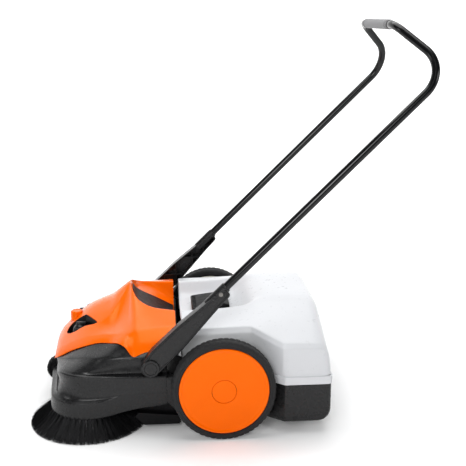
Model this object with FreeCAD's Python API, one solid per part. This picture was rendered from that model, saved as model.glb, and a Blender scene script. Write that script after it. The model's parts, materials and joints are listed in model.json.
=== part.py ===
import FreeCAD, Part
import math
import os

from FreeCAD import Placement, Rotation, Vector

# Walk-behind push sweeper: two disc brushes in front, a roller brush between two driving wheels,
# a slide-out dirt hopper behind and a folding push handle.
# Millimetres. +X is the direction of travel, +Y the operator's left, +Z up, z = 0 the floor.
# Everything is drawn with the wheel axle over x = 0; the hand-in at the end moves the finished pieces
# so that the origin is the middle of the footprint.

# ---- driving dimensions -------------------------------------------------------------------
WHEEL_R = 140.0
WHEEL_IN = 311.0            # inner face of a wheel, from the middle plane
WHEEL_OUT = 353.0           # outer face of a wheel
AXLE_Z = WHEEL_R
RIM_R = 122.0
WALL = 3.0                  # moulded wall thickness
RUN = 0.05                  # running clearance on a radius

MODULE = 2.5                # wheel ring gear and pinion
RING_TEETH = 72
PINION_TEETH = 18
GEAR_CENTRES = MODULE * (RING_TEETH - PINION_TEETH) / 2
ROLLER_X = 20.0
ROLLER_Z = AXLE_Z - math.sqrt(GEAR_CENTRES ** 2 - ROLLER_X ** 2)
ROLLER_R = ROLLER_Z - 0.2
ROLLER_HALF = 242.0
SHAFT_R = 7.0

PLATE_IN = 250.0            # chassis side plates
PLATE_OUT = 257.0
PULLEY_IN = 261.0
PULLEY_OUT = 271.0
PULLEY_R = 15.0
FLANGE_R = 17.5

DISC_X = 371.0              # disc brushes
DISC_Y = 188.5
DISC_R = 165.0
CROWN_MODULE = 3.0
CROWN_TEETH = 36
BEVEL_TEETH = 12
CROWN_R = CROWN_MODULE * CROWN_TEETH / 2
BEVEL_R = CROWN_MODULE * BEVEL_TEETH / 2
LAY_Z = 146.0               # lay shaft that carries the belt drive over to the crown gear
CROWN_PITCH_Z = LAY_Z - BEVEL_R
DECK_Z = 96.0               # underside of the brush deck
DECK_T = 6.0

PIVOT_X = 194.0             # push handle
PIVOT_Z = 196.0
ARM_IN = 281.0
ARM_OUT = 312.0
HEEL_R = 27.0
SIDE_TOP_Y = 279.0          # widest that the body may be where the folding arms sweep past it
SIDE_LIP_Z = 166.0
TUBE_Y = 294.0
TUBE_R = 11.0
TUBE_START = (30.0, 375.0)
TUBE_BEND = (-582.0, 977.0)
BEND_R = 82.0
GRIP_X = -463.0
GRIP_Z = 1086.0
GRIP_CORNER_Y = 180.0
GRIP_BEND_R = 60.0
GRIP_R = 13.5
GRIP_HALF = 135.0

HOPPER_BASE_Z = 33.0        # hopper
SEAM_Z = 143.0
HOPPER_FLOOR_Z = 164.0      # underside of the hopper's front part, over the roller brush

KNOB_X = 414.0              # brush height knob and the support roller it sets
KNOB_TOP_Z = 259.0
KNOB_R = 18.0
SUPPORT_X = 473.0           # axle of the support roller, drawn up in its parked place
SUPPORT_Z = 80.0
SUPPORT_R = 36.0
SUPPORT_HALF = 15.0
FORK_REAR_X = 430.0
FORK_FRONT_X = 452.0
SLOT_HALF = SUPPORT_HALF + 9
BRACKET_Z = 150.0           # bridge that carries the knob and the levers
BRACKET_FRONT_X = 454.0
LEVER_X = 402.0
LEVER_Y = 61.0
LEVER_Z = 219.0
LEVER_R = 19.0

FRONT_X = DISC_X + DISC_R
SHROUD_REAR_X = 266.0

Y_AXIS = Vector(0, 1, 0)
Z_AXIS = Vector(0, 0, 1)


# ---- helpers ------------------------------------------------------------------------------
def block(x0, x1, y0, y1, z0, z1):
    return Part.makeBox(x1 - x0, y1 - y0, z1 - z0, Vector(x0, y0, z0))


def face_of(points):
    return Part.Face(Part.makePolygon(points + [points[0]]))


def prism_y(outline, y0, y1):
    """Outline of (x, z) points, extruded along Y."""
    points = [Vector(x, y0, z) for x, z in outline]
    return face_of(points).extrude(Vector(0, y1 - y0, 0))


def prism_z(outline, z0, z1):
    """Outline of (x, y) points, extruded along Z."""
    points = [Vector(x, y, z0) for x, y in outline]
    return face_of(points).extrude(Vector(0, 0, z1 - z0))


def rod_y(x, z, y0, y1, radius):
    return Part.makeCylinder(radius, y1 - y0, Vector(x, y0, z), Y_AXIS)


def rod_z(x, y, z0, z1, radius):
    return Part.makeCylinder(radius, z1 - z0, Vector(x, y, z0), Z_AXIS)


def ring_y(x, z, y0, y1, outer, inner):
    return rod_y(x, z, y0, y1, outer).cut(rod_y(x, z, y0 - 1, y1 + 1, inner))


def ring_z(x, y, z0, z1, outer, inner):
    return rod_z(x, y, z0, z1, outer).cut(rod_z(x, y, z0 - 1, z1 + 1, inner))


def turned_y(profile, x, z):
    """Closed profile of (radius, y) points, turned about the Y line through (x, z)."""
    points = [Vector(x + radius, y, z) for radius, y in profile]
    return face_of(points).revolve(Vector(x, 0, z), Y_AXIS, 360)


def turned_z(profile, x, y):
    """Closed profile of (radius, z) points, turned about the Z line through (x, y)."""
    points = [Vector(x + radius, y, z) for radius, z in profile]
    return face_of(points).revolve(Vector(x, y, 0), Z_AXIS, 360)


def fused(shapes):
    result = shapes[0]
    for shape in shapes[1:]:
        result = result.fuse(shape)
    return result.removeSplitter()


def mirrored(shape):
    return shape.mirror(Vector(0, 0, 0), Y_AXIS)


def both(shape):
    """A piece and its mirror image, as one group of two solids."""
    return Part.makeCompound([shape, mirrored(shape)])


def both_sides(half_outline):
    """Closed symmetric outline from points with y >= 0, listed from one end to the other."""
    return half_outline + [(a, -b) for a, b in reversed(half_outline) if b > 0]


def skin_x(sections):
    """Ruled solid through (x, half section) pairs; a half section lists (y, z) points."""
    wires = []
    for x, half in sections:
        left = [Vector(x, y, z) for y, z in half]
        right = [Vector(x, -y, z) for y, z in reversed(half) if y > 0]
        wires.append(Part.makePolygon(left + right + [left[0]]))
    return Part.makeLoft(wires, True, True)


def skin_z(levels):
    """Ruled solid through (z, closed outline) pairs; an outline lists (x, y) points."""
    wires = []
    for z, outline in levels:
        points = [Vector(x, y, z) for x, y in outline]
        wires.append(Part.makePolygon(points + [points[0]]))
    return Part.makeLoft(wires, True, True)


def rounded_path(points, radii):
    """Wire through the points, with an arc of the given radius at each inner point."""
    edges = []
    start = points[0]
    for before, corner, after, radius in zip(points, points[1:], points[2:], radii):
        into = (corner - before).normalize()
        out = (after - corner).normalize()
        turn = into.getAngle(out)
        reach = radius * math.tan(turn / 2)
        first = corner - into * reach
        last = corner + out * reach
        inward = (out - into).normalize()
        middle = corner + inward * (radius / math.cos(turn / 2) - radius)
        edges.append(Part.LineSegment(start, first).toShape())
        edges.append(Part.Arc(first, middle, last).toShape())
        start = last
    edges.append(Part.LineSegment(start, points[-1]).toShape())
    return Part.Wire(edges)


def swept(path, radius):
    start = path.OrderedVertexes[0].Point
    direction = path.OrderedEdges[0].tangentAt(path.OrderedEdges[0].FirstParameter)
    circle = Part.Wire(Part.makeCircle(radius, start, direction))
    return path.makePipeShell([circle], True, False)


def tooth_outline(teeth, pitch_r, module, angle, inward):
    """Closed outline of (u, v) points of a gear's tooth tips and roots; a tooth lies on angle."""
    sign = -1 if inward else 1
    tip = pitch_r + sign * 0.8 * module
    root = pitch_r - sign * 1.2 * module
    thick = 0.40 * math.pi * module
    flank = math.tan(math.radians(20))
    tip_half = (thick / 2 - 0.8 * module * flank) / tip
    root_half = (thick / 2 + 1.2 * module * flank) / root
    points = []
    for index in range(teeth):
        middle = angle + index * 2 * math.pi / teeth
        for radius, offset in ((root, -root_half), (tip, -tip_half), (tip, tip_half), (root, root_half)):
            points.append((radius * math.cos(middle + offset), radius * math.sin(middle + offset)))
    return points


def shifted(outline, u, v):
    return [(u + a, v + b) for a, b in outline]


# ---- wheels -------------------------------------------------------------------------------
GEAR_ANGLE = math.atan2(ROLLER_Z - AXLE_Z, ROLLER_X)
AXLE_R = 9.0
RING_IN = WHEEL_IN + 2
RING_OUT = WHEEL_IN + 14
HUB_IN = PLATE_OUT + 3
WEB_IN = WHEEL_IN + 15


def tyre():
    profile = [
        (RIM_R, WHEEL_IN + 3), (RIM_R + 8, WHEEL_IN),
        (WHEEL_R - 4, WHEEL_IN + 1), (WHEEL_R, WHEEL_IN + 7),
        (WHEEL_R, WHEEL_OUT - 7), (WHEEL_R - 4, WHEEL_OUT - 1),
        (RIM_R + 8, WHEEL_OUT), (RIM_R, WHEEL_OUT - 3),
    ]
    return turned_y(profile, 0, AXLE_Z)


def rim():
    barrel = ring_y(0, AXLE_Z, WHEEL_IN + 3, WHEEL_OUT - 3, RIM_R, RIM_R - 4)
    web = ring_y(0, AXLE_Z, WEB_IN, WEB_IN + 4, RIM_R - 3, AXLE_R + RUN)
    hub = ring_y(0, AXLE_Z, HUB_IN, WHEEL_OUT - 12, 19, AXLE_R + RUN)
    return fused([barrel, web, hub])


def ring_gear():
    half_pitch = math.pi / RING_TEETH
    teeth = tooth_outline(RING_TEETH, MODULE * RING_TEETH / 2, MODULE, GEAR_ANGLE + half_pitch, True)
    hole = prism_y(shifted(teeth, 0, AXLE_Z), RING_IN - 1, RING_OUT + 1)
    return rod_y(0, AXLE_Z, RING_IN, RING_OUT, RIM_R - 4).cut(hole)


def wheel_disc():
    outer = WHEEL_OUT
    profile = [
        (33, outer - 8), (RIM_R - 4.2, outer - 12), (RIM_R - 4.2, outer - 3), (RIM_R - 1, outer - 2.8),
        (RIM_R - 1, outer - 0.5), (RIM_R - 6, outer), (RIM_R - 12, outer - 3), (80, outer - 2),
        (40, outer - 1.2), (33, outer - 1.2),
    ]
    return turned_y(profile, 0, AXLE_Z)


def hub_cap():
    outer = WHEEL_OUT
    profile = [(0, outer - 8), (32.6, outer - 8), (32.6, outer - 1.4), (30, outer - 0.6), (0, outer - 0.2)]
    return turned_y(profile, 0, AXLE_Z)


def axle():
    stub = rod_y(0, AXLE_Z, PLATE_OUT, WHEEL_OUT - 14, AXLE_R)
    flange = rod_y(0, AXLE_Z, PLATE_OUT, PLATE_OUT + 2.5, 24)
    return fused([stub, flange])


# ---- roller brush and its drive -----------------------------------------------------------
PINION_IN = WHEEL_IN + 3
PINION_OUT = WHEEL_IN + 13
CORE_R = 26.0
BRISTLE_ROWS = 8


def roller_shaft():
    length = PINION_OUT + 2
    return rod_y(ROLLER_X, ROLLER_Z, -length, length, SHAFT_R)


def roller_core():
    """Tube that carries the bristles, closed at both ends by discs that sit on the shaft."""
    barrel = ring_y(ROLLER_X, ROLLER_Z, -ROLLER_HALF, ROLLER_HALF, CORE_R, CORE_R - WALL)
    ends = [ring_y(ROLLER_X, ROLLER_Z, y, y + 2 * WALL, CORE_R - WALL, SHAFT_R)
            for y in (-ROLLER_HALF, ROLLER_HALF - 2 * WALL)]
    return fused([barrel] + ends)


def roller_bristles():
    """Rows of bristles standing on a sleeve that is pushed over the core."""
    sleeve = ring_y(ROLLER_X, ROLLER_Z, -ROLLER_HALF, ROLLER_HALF, CORE_R + 3, CORE_R)
    limit = rod_y(ROLLER_X, ROLLER_Z, -ROLLER_HALF, ROLLER_HALF, ROLLER_R)
    rows = []
    for index in range(BRISTLE_ROWS):
        row = block(CORE_R + 1, ROLLER_R + 1, -ROLLER_HALF, ROLLER_HALF, -3, 3)
        row.rotate(Vector(0, 0, 0), Y_AXIS, (index + 0.5) * 360 / BRISTLE_ROWS)
        row.translate(Vector(ROLLER_X, 0, ROLLER_Z))
        rows.append(row.common(limit))
    return fused([sleeve] + rows)


def pinion(bore):
    teeth = tooth_outline(PINION_TEETH, MODULE * PINION_TEETH / 2, MODULE, GEAR_ANGLE, False)
    wheel = prism_y(shifted(teeth, ROLLER_X, ROLLER_Z), PINION_IN, PINION_OUT)
    return wheel.cut(rod_y(ROLLER_X, ROLLER_Z, PINION_IN - 1, PINION_OUT + 1, bore))


def pulley(x, z, bore):
    drum = rod_y(x, z, PULLEY_IN, PULLEY_OUT, PULLEY_R)
    flanges = [rod_y(x, z, y, y + 1.5, FLANGE_R) for y in (PULLEY_IN, PULLEY_OUT - 1.5)]
    hole = rod_y(x, z, PULLEY_IN - 1, PULLEY_OUT + 1, bore)
    return fused([drum] + flanges).cut(hole)


def roller_pulleys():
    return both(pulley(ROLLER_X, ROLLER_Z, SHAFT_R))


def belt():
    """Loop round both pulleys, a hair clear of them, as two half rings and two straight runs."""
    inner = PULLEY_R + 0.3
    outer = inner + 2.5
    run = Vector(DISC_X - ROLLER_X, 0, LAY_Z - ROLLER_Z)
    slope = math.atan2(run.z, run.x)
    y0 = PULLEY_IN + 2
    y1 = PULLEY_OUT - 2

    def loop(radius, low, high):
        flat = block(0, run.Length, low, high, -radius, radius)
        ends = [Part.makeCylinder(radius, high - low, Vector(x, low, 0), Y_AXIS) for x in (0, run.Length)]
        return fused([flat] + ends)

    ribbon = loop(outer, y0, y1).cut(loop(inner, y0 - 1, y1 + 1))
    turn = Rotation(Y_AXIS, -math.degrees(slope))
    ribbon.Placement = Placement(Vector(ROLLER_X, 0, ROLLER_Z), turn)
    return ribbon


def roller_bearings():
    return both(ring_y(ROLLER_X, ROLLER_Z, PLATE_IN - 4, PLATE_OUT + 2, 13, SHAFT_R + RUN))


# ---- disc brushes and their drive ---------------------------------------------------------
LAY_IN = DISC_Y - CROWN_R - 14
BEVEL_IN = DISC_Y - CROWN_R - 6
BEVEL_OUT = DISC_Y - CROWN_R + 6
SPINDLE_R = 10.0
SPINDLE_TOP = CROWN_PITCH_Z + 4


def lay_shaft():
    shaft = rod_y(DISC_X, LAY_Z, LAY_IN, PULLEY_OUT + 1, SHAFT_R)
    return fused([shaft, pulley(DISC_X, LAY_Z, SHAFT_R - 1)])


def bevel_pinion():
    teeth = tooth_outline(BEVEL_TEETH, BEVEL_R, CROWN_MODULE, -math.pi / 2, False)
    wheel = prism_y(shifted(teeth, DISC_X, LAY_Z), BEVEL_IN, BEVEL_OUT)
    return wheel.cut(rod_y(DISC_X, LAY_Z, BEVEL_IN - 1, BEVEL_OUT + 1, SHAFT_R))


def crown_gear():
    low = CROWN_PITCH_Z - 1.2 * CROWN_MODULE
    high = CROWN_PITCH_Z + 0.8 * CROWN_MODULE
    body = ring_z(DISC_X, DISC_Y, low - 7, low, CROWN_R + 7, SPINDLE_R)
    tooth = face_of([
        Vector(-2.6, 0, low - 0.5), Vector(2.6, 0, low - 0.5), Vector(0.9, 0, high), Vector(-0.9, 0, high),
    ]).extrude(Vector(0, -14, 0))
    tooth.translate(Vector(DISC_X, DISC_Y - CROWN_R + 7, 0))
    pieces = [body]
    for index in range(CROWN_TEETH):
        turned = tooth.copy()
        angle = (index + 0.5) * 360 / CROWN_TEETH
        turned.rotate(Vector(DISC_X, DISC_Y, 0), Z_AXIS, angle)
        pieces.append(turned)
    return pieces[0].fuse(pieces[1:]).removeSplitter()


def brush_spindle():
    flange = rod_z(DISC_X, DISC_Y, DECK_Z - 8, DECK_Z - 5, 24)
    return fused([rod_z(DISC_X, DISC_Y, DECK_Z - 14, SPINDLE_TOP, SPINDLE_R), flange])


def brush_plate():
    top = DECK_Z - 8
    profile = [
        (SPINDLE_R, top - 6), (30, top - 6), (34, top - 16), (90, top - 16), (90, top - 8), (60, top - 4),
        (34, top), (SPINDLE_R, top),
    ]
    return turned_z(profile, DISC_X, DISC_Y)


def disc_bristles():
    top = DECK_Z - 24
    profile = [(70, top), (88, top), (97, 43), (DISC_R - 3, 3), (DISC_R, 0), (DISC_R - 27, 0)]
    return turned_z(profile, DISC_X, DISC_Y)


def spindle_bushes():
    return both(fused([
        ring_z(DISC_X, DISC_Y, DECK_Z, DECK_Z + DECK_T, 15, SPINDLE_R + RUN),
        ring_z(DISC_X, DISC_Y, DECK_Z - 3, DECK_Z, 22, SPINDLE_R + RUN),
    ]))


def lay_shaft_bearings():
    """Pillow blocks on the brush deck, an outer and an inner one on each side."""
    blocks = []
    for y0, y1 in ((PULLEY_IN - 10, PULLEY_IN - 2), (LAY_IN, LAY_IN + 5)):
        foot = block(DISC_X - 16, DISC_X + 16, y0, y1, DECK_Z + DECK_T, LAY_Z)
        eye = rod_y(DISC_X, LAY_Z, y0, y1, 14)
        hole = rod_y(DISC_X, LAY_Z, y0 - 1, y1 + 1, SHAFT_R + RUN)
        blocks.append(fused([foot, eye]).cut(hole))
    return Part.makeCompound(blocks + [mirrored(piece) for piece in blocks])


# ---- chassis ------------------------------------------------------------------------------
def skirt_half(radius, front_x, rear_y, straight=False):
    """Half outline round one disc brush, nose to rear; straight runs level with the flank behind it."""
    half = [(front_x, 0), (front_x, 45), (front_x, 90)]
    for degrees in range(15, 136, 15):
        angle = math.radians(degrees)
        x = DISC_X + radius * math.cos(angle)
        y = DISC_Y + radius * math.sin(angle)
        if straight and degrees > 90:
            share = (DISC_X - x) / (DISC_X - SHROUD_REAR_X)
            y = DISC_Y + radius + share * (rear_y - DISC_Y - radius)
        half.append((x, y))
    return half + [(SHROUD_REAR_X, rear_y), (SHROUD_REAR_X, 0)]


def chassis_frame():
    """Side plates joined by the brush deck, the roller hood, two cross members and the rails."""
    side = [(-70, 175), (-70, 60), (-30, 22), (205, 22), (262, DECK_Z), (262, 208), (120, 208), (60, 175)]
    plate = prism_y(side, PLATE_IN, PLATE_OUT)
    plate = plate.cut(rod_y(ROLLER_X, ROLLER_Z, PLATE_IN - 1, PLATE_OUT + 1, 13))
    cover = ring_y(ROLLER_X, ROLLER_Z, -PLATE_IN, PLATE_IN, ROLLER_R + 9, ROLLER_R + 6)
    cover = cover.cut(block(-120, 160, -300, 300, -40, ROLLER_Z - 30))
    cover = cover.cut(block(-120, ROLLER_X - 62, -300, 300, -40, 200))
    rear_deck = block(130, 264, -PLATE_OUT, PLATE_OUT, DECK_Z, DECK_Z + DECK_T)
    nose_deck = prism_z(both_sides(skirt_half(90, 468, 247)), DECK_Z, DECK_Z + DECK_T)
    bridge = block(262, 270, -240, 240, DECK_Z, DECK_Z + DECK_T)
    deck = fused([rear_deck, bridge, nose_deck])
    for sign in (1, -1):
        deck = deck.cut(rod_z(DISC_X, sign * DISC_Y, DECK_Z - 1, DECK_Z + DECK_T + 1, 15))
    notch = block(FORK_REAR_X - 2, FRONT_X, -SLOT_HALF, SLOT_HALF, DECK_Z - 1, DECK_Z + DECK_T + 1)
    deck = deck.cut(notch)
    beam = block(118, 130, -PLATE_IN, PLATE_IN, 60, 205)
    front_beam = block(250, 262, -PLATE_IN, PLATE_IN, DECK_Z, 190)
    rail = block(-66, 100, PLATE_IN - 7, PLATE_IN, HOPPER_FLOOR_Z - 9, HOPPER_FLOOR_Z - 1)
    return fused([plate, mirrored(plate), cover, deck, beam, front_beam, rail, mirrored(rail)])


SHROUD_SHOULDER = (
    (480, 0, 148), (480, 45, 148), (474, 90, 154), (459, 130, 163), (441, 158, 172), (417, 183, 181),
    (395, 208, 190), (372, 231, 200), (346, 252, 208), (320, 268, 213), (296, 275, 215), (280, 278, 216),
    (SHROUD_REAR_X, 278, 216),
)
HOOD_EDGE = (
    (474, 0, 150), (474, 45, 150), (468, 90, 156), (453, 127, 166), (437, 138, 178), (417, 150, 191),
    (396, 167, 204), (376, 179, 215), (345, 191, 227), (318, 208, 235), (296, 226, 239), (280, 248, 243),
    (SHROUD_REAR_X, 270, 243),
)


def thick_sheet(outer, inner):
    """Closed solid between two grids of points with the same rows and columns."""
    faces = []

    def facet(a, b, c):
        if (b - a).cross(c - a).Length > 0.001:
            faces.append(face_of([a, b, c]))

    def strip(first, second):
        for index in range(len(first) - 1):
            facet(first[index], first[index + 1], second[index + 1])
            facet(first[index], second[index + 1], second[index])

    for grid in (outer, inner):
        for low, high in zip(grid, grid[1:]):
            strip(low, high)
    for row in (0, -1):
        strip(outer[row], inner[row])
    for column in (0, -1):
        strip([row[column] for row in outer], [row[column] for row in inner])
    shell = Part.makeShell(faces)
    shell.sewShape()
    solid = Part.makeSolid(shell)
    if solid.Volume < 0:
        solid.reverse()
    return solid


def shroud_rows(inset):
    """Skirt, waist and lip round the disc brushes, then the shoulder up to the hood's edge."""
    rounds = (
        (45, 108, 485, 248, False), (88, 101, 481, 254, False), (102, 96.5, 480, 288, True),
        (154, 95, 480, 294, True), (SIDE_LIP_Z, 93, 480, 292, True), (SIDE_LIP_Z + 3, 84, 480, 280, True),
    )
    rows = []
    for level, (z, radius, front, rear, straight) in enumerate(rounds):
        half = skirt_half(radius - inset, front - inset, rear - inset, straight)[:-1]
        row = []
        for (x, y), (_, _, top) in zip(half, SHROUD_SHOULDER):
            row.append((x, y, min(z, top - 6 * (len(rounds) - level))))
        rows.append(row)
    rows.append([(x - inset, y - (inset if y else 0), z - inset) for x, y, z in SHROUD_SHOULDER])
    rows.append([(x - inset, y - (inset if y else 0), z - 4 - inset) for x, y, z in HOOD_EDGE])
    for row in rows[-2:]:
        row[-1] = (SHROUD_REAR_X, row[-1][1], row[-1][2])
    grid = []
    for row in rows:
        left = [Vector(x, y, z) for x, y, z in row]
        right = [Vector(x, -y, z) for x, y, z in reversed(row[1:])]
        grid.append(right + left)
    return grid


def front_shroud():
    """The moulded front, with a slot in its nose that the support roller stands out of."""
    slot = block(SUPPORT_X - 20, FRONT_X, -SLOT_HALF, SLOT_HALF, 0, SUPPORT_Z + SUPPORT_R + 5)
    return thick_sheet(shroud_rows(0), shroud_rows(WALL)).cut(slot)


def side_cover():
    """Moulded cover over the belt drive, between the skirt and the wheel."""
    y_out = 298.0
    y_in = PLATE_OUT + 0.5
    low = [(62, 50), (128, 58), (150, 76), (205, 82), (262, 72), (265, 90), (265, SIDE_LIP_Z),
           (76, SIDE_LIP_Z)]
    high = [(76, SIDE_LIP_Z - 1), (265, SIDE_LIP_Z - 1), (265, 214), (120, 214), (94, 200)]
    shell = fused([prism_y(low, y_in, y_out), prism_y(high, y_in, SIDE_TOP_Y)])
    low_hollow = [(60, 54), (128, 61), (150, 79), (205, 85), (259, 76), (262, 90), (262, SIDE_LIP_Z - WALL),
                  (60, SIDE_LIP_Z - WALL)]
    high_hollow = [(70, 150), (262, 150), (262, 211), (122, 211), (97, 198), (70, 163)]
    shell = shell.cut(prism_y(low_hollow, y_in - 1, y_out - WALL))
    shell = shell.cut(prism_y(high_hollow, y_in - 1, SIDE_TOP_Y - WALL))
    boss = rod_y(PIVOT_X, PIVOT_Z, y_in, SIDE_TOP_Y, 17)
    shell = fused([shell, boss])
    shell = shell.cut(rod_y(PIVOT_X, PIVOT_Z, y_in - 1, SIDE_TOP_Y + 1, 10))
    return shell.cut(prism_y([(250, 60), (270, 60), (270, 175), (262, 175), (262, 92)], y_in - 1, 274))


def side_skid():
    outline = [(118, 15), (215, 15), (240, 40), (232, 52), (118, 40)]
    return prism_y(outline, PLATE_OUT, PLATE_OUT + 18)


def pivot_pin():
    return rod_y(PIVOT_X, PIVOT_Z, PLATE_OUT, ARM_OUT - 0.6, 10)


def dirt_lip():
    return block(114, 118, -PLATE_IN + 4, PLATE_IN - 4, 4, 74)


# ---- hood ---------------------------------------------------------------------------------
def hood_sections(inset):
    """Half sections from the lower edge over the crease and ridge to the middle plane."""
    table = (
        (126, (274, 240), (216, 282), (135, 299), 310),
        (187, (276, 232), (222, 278), (128, 303), 320),
        (232, (278, 222), (226, 270), (95, 317), 334),
        (250, (278, 232), (222, 266), (70, 322), 345),
        (272, (262, 244), (206, 260), (84, 296), 330),
        (300, (224, 234), (192, 252), (92, 274), 306),
        (345, (192, 224), (166, 240), (96, 262), 288),
        (380, (178, 210), (150, 228), (90, 248), 271),
        (417, (152, 188), (126, 206), (76, 224), 239),
        (448, (130, 164), (104, 182), (60, 198), 212),
        (466, (112, 152), (84, 160), (46, 172), 184),
        (474, (96, 148), (70, 150), (40, 154), 158),
    )
    sections = []
    for x, edge, crease, ridge, top in table:
        half = [(0, 140), (edge[0], 140), edge, crease, ridge, (0, top)]
        if inset:
            half = [(0, 120)] + [(y - inset, z if index == 0 else z - inset) for index, (y, z) in
                                 enumerate(half[1:5])] + [(0, top - inset)]
            half[1] = (half[1][0], 120)
            x = x - inset if x > 440 else x
        sections.append((x, half))
    if inset:
        sections[0] = (120, sections[0][1])
    return sections


def hood_lower_cut():
    """Body under the hood's lower edge, from the rear corner to the nose."""
    edge = [(126, 246), (187, 238), (236, 214), (244, 226), (252, 240), (272, 249), (300, 240), (345, 228),
            (376, 215), (417, 191), (453, 166), (474, 150), (500, 150), (500, 60), (100, 60), (100, 246)]
    return prism_y(edge, -320, 320)


# Half sections of the valley in the hood: edge of the mat, foot of the wall and the rim, each (y, z).
VALLEY = (
    (110, (80, 234), (120, 238), (137, 298)),
    (126, (80, 236), (120, 241), (136, 299)),
    (155, (75, 254), (117, 264), (130, 301)),
    (187, (70, 273), (113, 287), (123, 303)),
    (212, (60, 288), (97, 299), (106, 309)),
    (230, (50, 301), (79, 308), (88, 317)),
    (240, (38, 314), (57, 319), (65, 326)),
    (247, (22, 329), (32, 331), (40, 337)),
    (251, (6, 343), (9, 344), (12, 346)),
)
MAT_FROM = 127
MAT_TO = 247


def valley(grow):
    """Space of the valley up to well above the hood, grown by a wall thickness on every side."""
    sections = []
    for x, mat, foot, rim_point in VALLEY:
        half = [(0, mat[1] - grow)]
        half += [(y + grow, z - grow) for y, z in (mat, foot, rim_point)]
        half += [(rim_point[0] + grow, 400), (0, 400)]
        sections.append((x + (grow if x > 240 else 0), half))
    return skin_x(sections)


def hood():
    outside = skin_x(hood_sections(0))
    shell = outside.cut(skin_x(hood_sections(WALL)))
    trough = valley(WALL).common(outside).cut(block(100, 126, -300, 300, 100, 400))
    shell = shell.fuse(trough).cut(valley(0))
    shell = shell.cut(hood_lower_cut())
    shell = shell.cut(rod_z(KNOB_X, 0, 150, 300, KNOB_R + 1.5))
    for sign in (1, -1):
        shell = shell.cut(lever_pocket(sign))
    return max(shell.Solids, key=lambda solid: solid.Volume)


def lever_pocket(sign):
    """Leaf-shaped opening beside the knob, from its blunt front end to its pointed rear end."""
    leaf = [(440, 50), (434, 34), (422, 27), (404, 33), (381, 47), (362, 78), (343, 110), (358, 109),
            (384, 96), (410, 90), (427, 78), (437, 64)]
    return prism_z([(x, sign * y) for x, y in leaf], 190, 300)


def recess_liner():
    """Black mat that lies on the floor of the hood's valley."""
    lower = []
    upper = []
    for x, mat, _, _ in VALLEY[1:-1]:
        x = min(max(x, MAT_FROM), MAT_TO)
        y = mat[0] - 0.5
        lower.append([Vector(x, side * y, mat[1] + 1) for side in (-1, 0, 1)])
        upper.append([Vector(x, side * y, mat[1] + 1 + WALL) for side in (-1, 0, 1)])
    return thick_sheet(upper, lower)


def brush_lever(sign):
    """Hollow dark dome with a finger tab and its own hinge pin, in the hood's front pocket."""
    centre = Vector(LEVER_X, sign * LEVER_Y, LEVER_Z)
    dome = Part.makeSphere(LEVER_R, centre).cut(Part.makeSphere(LEVER_R - WALL, centre))
    dome = dome.cut(block(340, 440, -200, 200, 150, LEVER_Z - 8))
    y0 = sign * LEVER_Y - 5
    tab = block(LEVER_X - 22, LEVER_X + 10, y0, y0 + 10, LEVER_Z + 14, LEVER_Z + 26)
    fin = block(LEVER_X - 5, LEVER_X + 5, y0 + 2, y0 + 8, LEVER_Z - 5, LEVER_Z + LEVER_R - 1)
    pin = rod_y(LEVER_X, LEVER_Z, sign * LEVER_Y - 13, sign * LEVER_Y + 13, 3)
    return fused([dome, tab, fin, pin])


# ---- height adjustment --------------------------------------------------------------------
def height_knob():
    stem = rod_z(KNOB_X, 0, BRACKET_Z - 4, KNOB_TOP_Z - 30, 7)
    head = turned_z([(0, KNOB_TOP_Z - 34), (KNOB_R, KNOB_TOP_Z - 34), (KNOB_R, KNOB_TOP_Z - 2),
                     (KNOB_R - 3, KNOB_TOP_Z), (0, KNOB_TOP_Z)], KNOB_X, 0)
    return fused([stem, head])


def front_bracket():
    """Bridge on the brush deck: knob bearing and the yokes of both levers."""
    top = BRACKET_Z + 6
    bridge = block(LEVER_X - 14, BRACKET_FRONT_X, -102, 102, BRACKET_Z, top)
    bridge = bridge.cut(rod_z(KNOB_X, 0, BRACKET_Z - 1, top + 1, 7 + RUN))
    legs = [block(LEVER_X - 14, BRACKET_FRONT_X, y, y + 5, DECK_Z + DECK_T, BRACKET_Z) for y in (-42, 37)]
    posts = []
    for middle in (-LEVER_Y, LEVER_Y):
        for y in (middle - 11, middle + 8):
            post = block(LEVER_X - 5, LEVER_X + 5, y, y + 3, BRACKET_Z, LEVER_Z + 6)
            posts.append(post.cut(rod_y(LEVER_X, LEVER_Z, y - 1, y + 4, 3 + RUN)))
    return fused([bridge] + legs + posts)


def support_fork():
    """Yoke behind the roller, two cheeks beside it and its axle."""
    outer = SUPPORT_HALF + 6
    top = BRACKET_Z - 10
    yoke = block(FORK_REAR_X, FORK_FRONT_X, -outer, outer, SUPPORT_Z + 40, top)
    cheek = [(FORK_REAR_X, top), (FORK_FRONT_X, top), (SUPPORT_X + 11, SUPPORT_Z + 12),
             (SUPPORT_X + 11, SUPPORT_Z - 8), (SUPPORT_X - 5, SUPPORT_Z - 12), (FORK_REAR_X, SUPPORT_Z + 32)]
    cheeks = [prism_y(cheek, y, y + 4) for y in (-outer, outer - 4)]
    return fused([yoke] + cheeks + [rod_y(SUPPORT_X, SUPPORT_Z, -outer, outer, 4)])


def support_roller():
    return ring_y(SUPPORT_X, SUPPORT_Z, -SUPPORT_HALF, SUPPORT_HALF, SUPPORT_R, 4 + RUN)


# ---- push handle --------------------------------------------------------------------------
SCREW_AT = 34.0
SCREW_R = 2.5


def arm_outline():
    top = [(-22, 396), (-5, 416), (120, 312), (191, 244), (212, 216)]
    heel = []
    for degrees in range(20, -151, -17):
        angle = math.radians(degrees)
        heel.append((PIVOT_X + HEEL_R * math.cos(angle), PIVOT_Z + HEEL_R * math.sin(angle)))
    return top + heel + [(105, 250), (14, 357)]


def tube_axis(distance, y):
    run = Vector(TUBE_BEND[0] - TUBE_START[0], 0, TUBE_BEND[1] - TUBE_START[1]).normalize()
    return Vector(TUBE_START[0], y, TUBE_START[1]) + run * distance


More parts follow.
